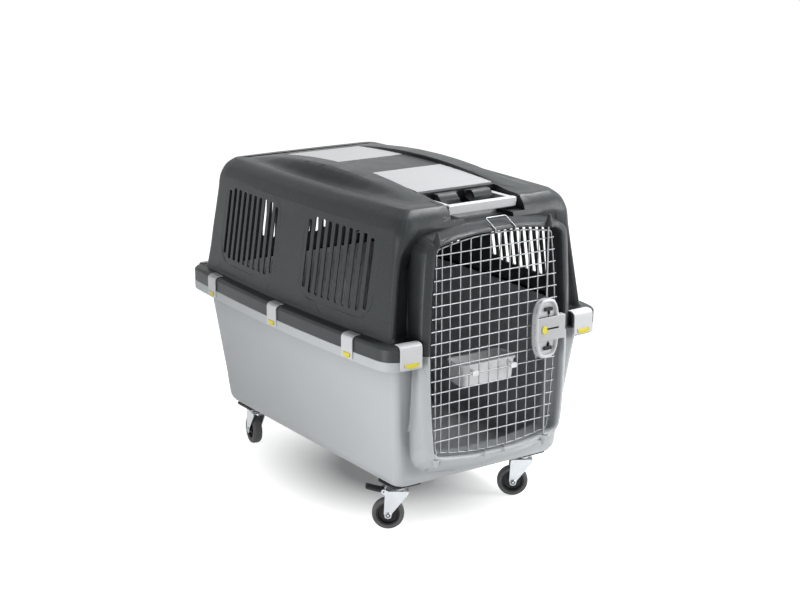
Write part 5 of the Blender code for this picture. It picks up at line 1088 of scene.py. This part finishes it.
def soft_lamp(name, place, aim, size, power):
    """A wide soft lamp that looks at a point."""
    light = bpy.data.lights.new(name, "AREA")
    light.shape = "RECTANGLE"
    light.size, light.size_y = size
    light.energy = power
    lamp = bpy.data.objects.new(name, light)
    bpy.context.scene.collection.objects.link(lamp)
    lamp.location = place
    lamp.rotation_euler = (Vector(aim) - Vector(place)).to_track_quat("-Z", "Y").to_euler()


floor_faces = bmesh.new()
bmesh.ops.create_grid(floor_faces, x_segments=1, y_segments=1, size=FLOOR_HALF)
floor = placed_mesh("studio_floor", floor_faces)
floor.location.z = -FLOOR_DROP
paper = bpy.data.materials.new("white_paper")
paper.use_nodes = True
sheet = paper.node_tree
sheet.nodes.clear()
paper_out = sheet.nodes.new("ShaderNodeOutputMaterial")
matte = sheet.nodes.new("ShaderNodeBsdfDiffuse")
matte.inputs["Color"].default_value = FLOOR_GREY
glow = sheet.nodes.new("ShaderNodeEmission")
floor_place = sheet.nodes.new("ShaderNodeTexCoord")
footprint = sheet.nodes.new("ShaderNodeMapping")
footprint.inputs["Scale"].default_value = FOOTPRINT_SCALE
sheet.links.new(floor_place.outputs["Object"], footprint.inputs["Vector"])
away = sheet.nodes.new("ShaderNodeVectorMath")
away.operation = "LENGTH"
sheet.links.new(footprint.outputs["Vector"], away.inputs[0])
# Painted shadow: the floor's glow drops away over the crate's footprint, and is white only farther off.
glow_with_painted_shadow = rescaled(sheet, away.outputs["Value"], GLOW_STARTS, GLOW_FULL, GLOW_LEAST, GLOW_MOST)
sheet.links.new(worked_out(sheet, "MULTIPLY", seen_rays(sheet), glow_with_painted_shadow), glow.inputs["Strength"])
together = sheet.nodes.new("ShaderNodeAddShader")
sheet.links.new(matte.outputs[0], together.inputs[0])
sheet.links.new(glow.outputs[0], together.inputs[1])
sheet.links.new(together.outputs[0], paper_out.inputs["Surface"])
floor.data.materials.append(paper)

room = bpy.data.worlds.new("white_room")
bpy.context.scene.world = room
room.use_nodes = True
walls = room.node_tree
walls.nodes.clear()
room_out = walls.nodes.new("ShaderNodeOutputWorld")
soft = walls.nodes.new("ShaderNodeBackground")
soft.inputs["Color"].default_value = ROOM_TINT
soft.inputs["Strength"].default_value = ROOM_LIGHT
white = walls.nodes.new("ShaderNodeBackground")
to_camera = walls.nodes.new("ShaderNodeLightPath").outputs["Is Camera Ray"]
brighter = worked_out(walls, "MULTIPLY_ADD", to_camera, CAMERA_BOOST, WHITE_STRENGTH)
walls.links.new(brighter, white.inputs["Strength"])
choose = walls.nodes.new("ShaderNodeMixShader")
walls.links.new(seen_rays(walls, held=True), choose.inputs["Fac"])
walls.links.new(soft.outputs[0], choose.inputs[1])
walls.links.new(white.outputs[0], choose.inputs[2])
walls.links.new(choose.outputs[0], room_out.inputs["Surface"])

soft_lamp("overhead_lamp", (1.3, -0.5, 2.9), (0.0, 0.0, 0.4), size=(1.8, 1.2), power=108.0)
soft_lamp("left_lamp", (-1.50, -0.60, 0.36), (-0.3, -0.36, 0.26), size=(0.8, 0.4), power=10.0)
soft_lamp("right_front_lamp", (2.1, -2.1, 1.2), (0.1, -0.4, 0.5), size=(1.4, 0.7), power=44.0)

camera_data = bpy.data.cameras.new("photo_camera")
camera_data.sensor_width = SENSOR
camera_data.lens = FOCAL_PIXELS * SENSOR / PHOTO_PIXELS
camera_data.clip_start = NEAREST_SEEN
camera_data.clip_end = FARTHEST_SEEN
camera = bpy.data.objects.new("photo_camera", camera_data)
bpy.context.scene.collection.objects.link(camera)
looking = Vector((
    -math.sin(CAMERA_AZIMUTH) * math.cos(CAMERA_ELEVATION),
    math.cos(CAMERA_AZIMUTH) * math.cos(CAMERA_ELEVATION),
    -math.sin(CAMERA_ELEVATION),
))
aim = looking.to_track_quat("-Z", "Y").to_matrix().to_4x4() @ Matrix.Rotation(CAMERA_ROLL, 4, "Z")
camera.matrix_world = Matrix.Translation(CAMERA_PLACE) @ aim
bpy.context.scene.camera = camera
bpy.context.scene.view_settings.view_transform = "Standard"

bpy.context.view_layer.update()
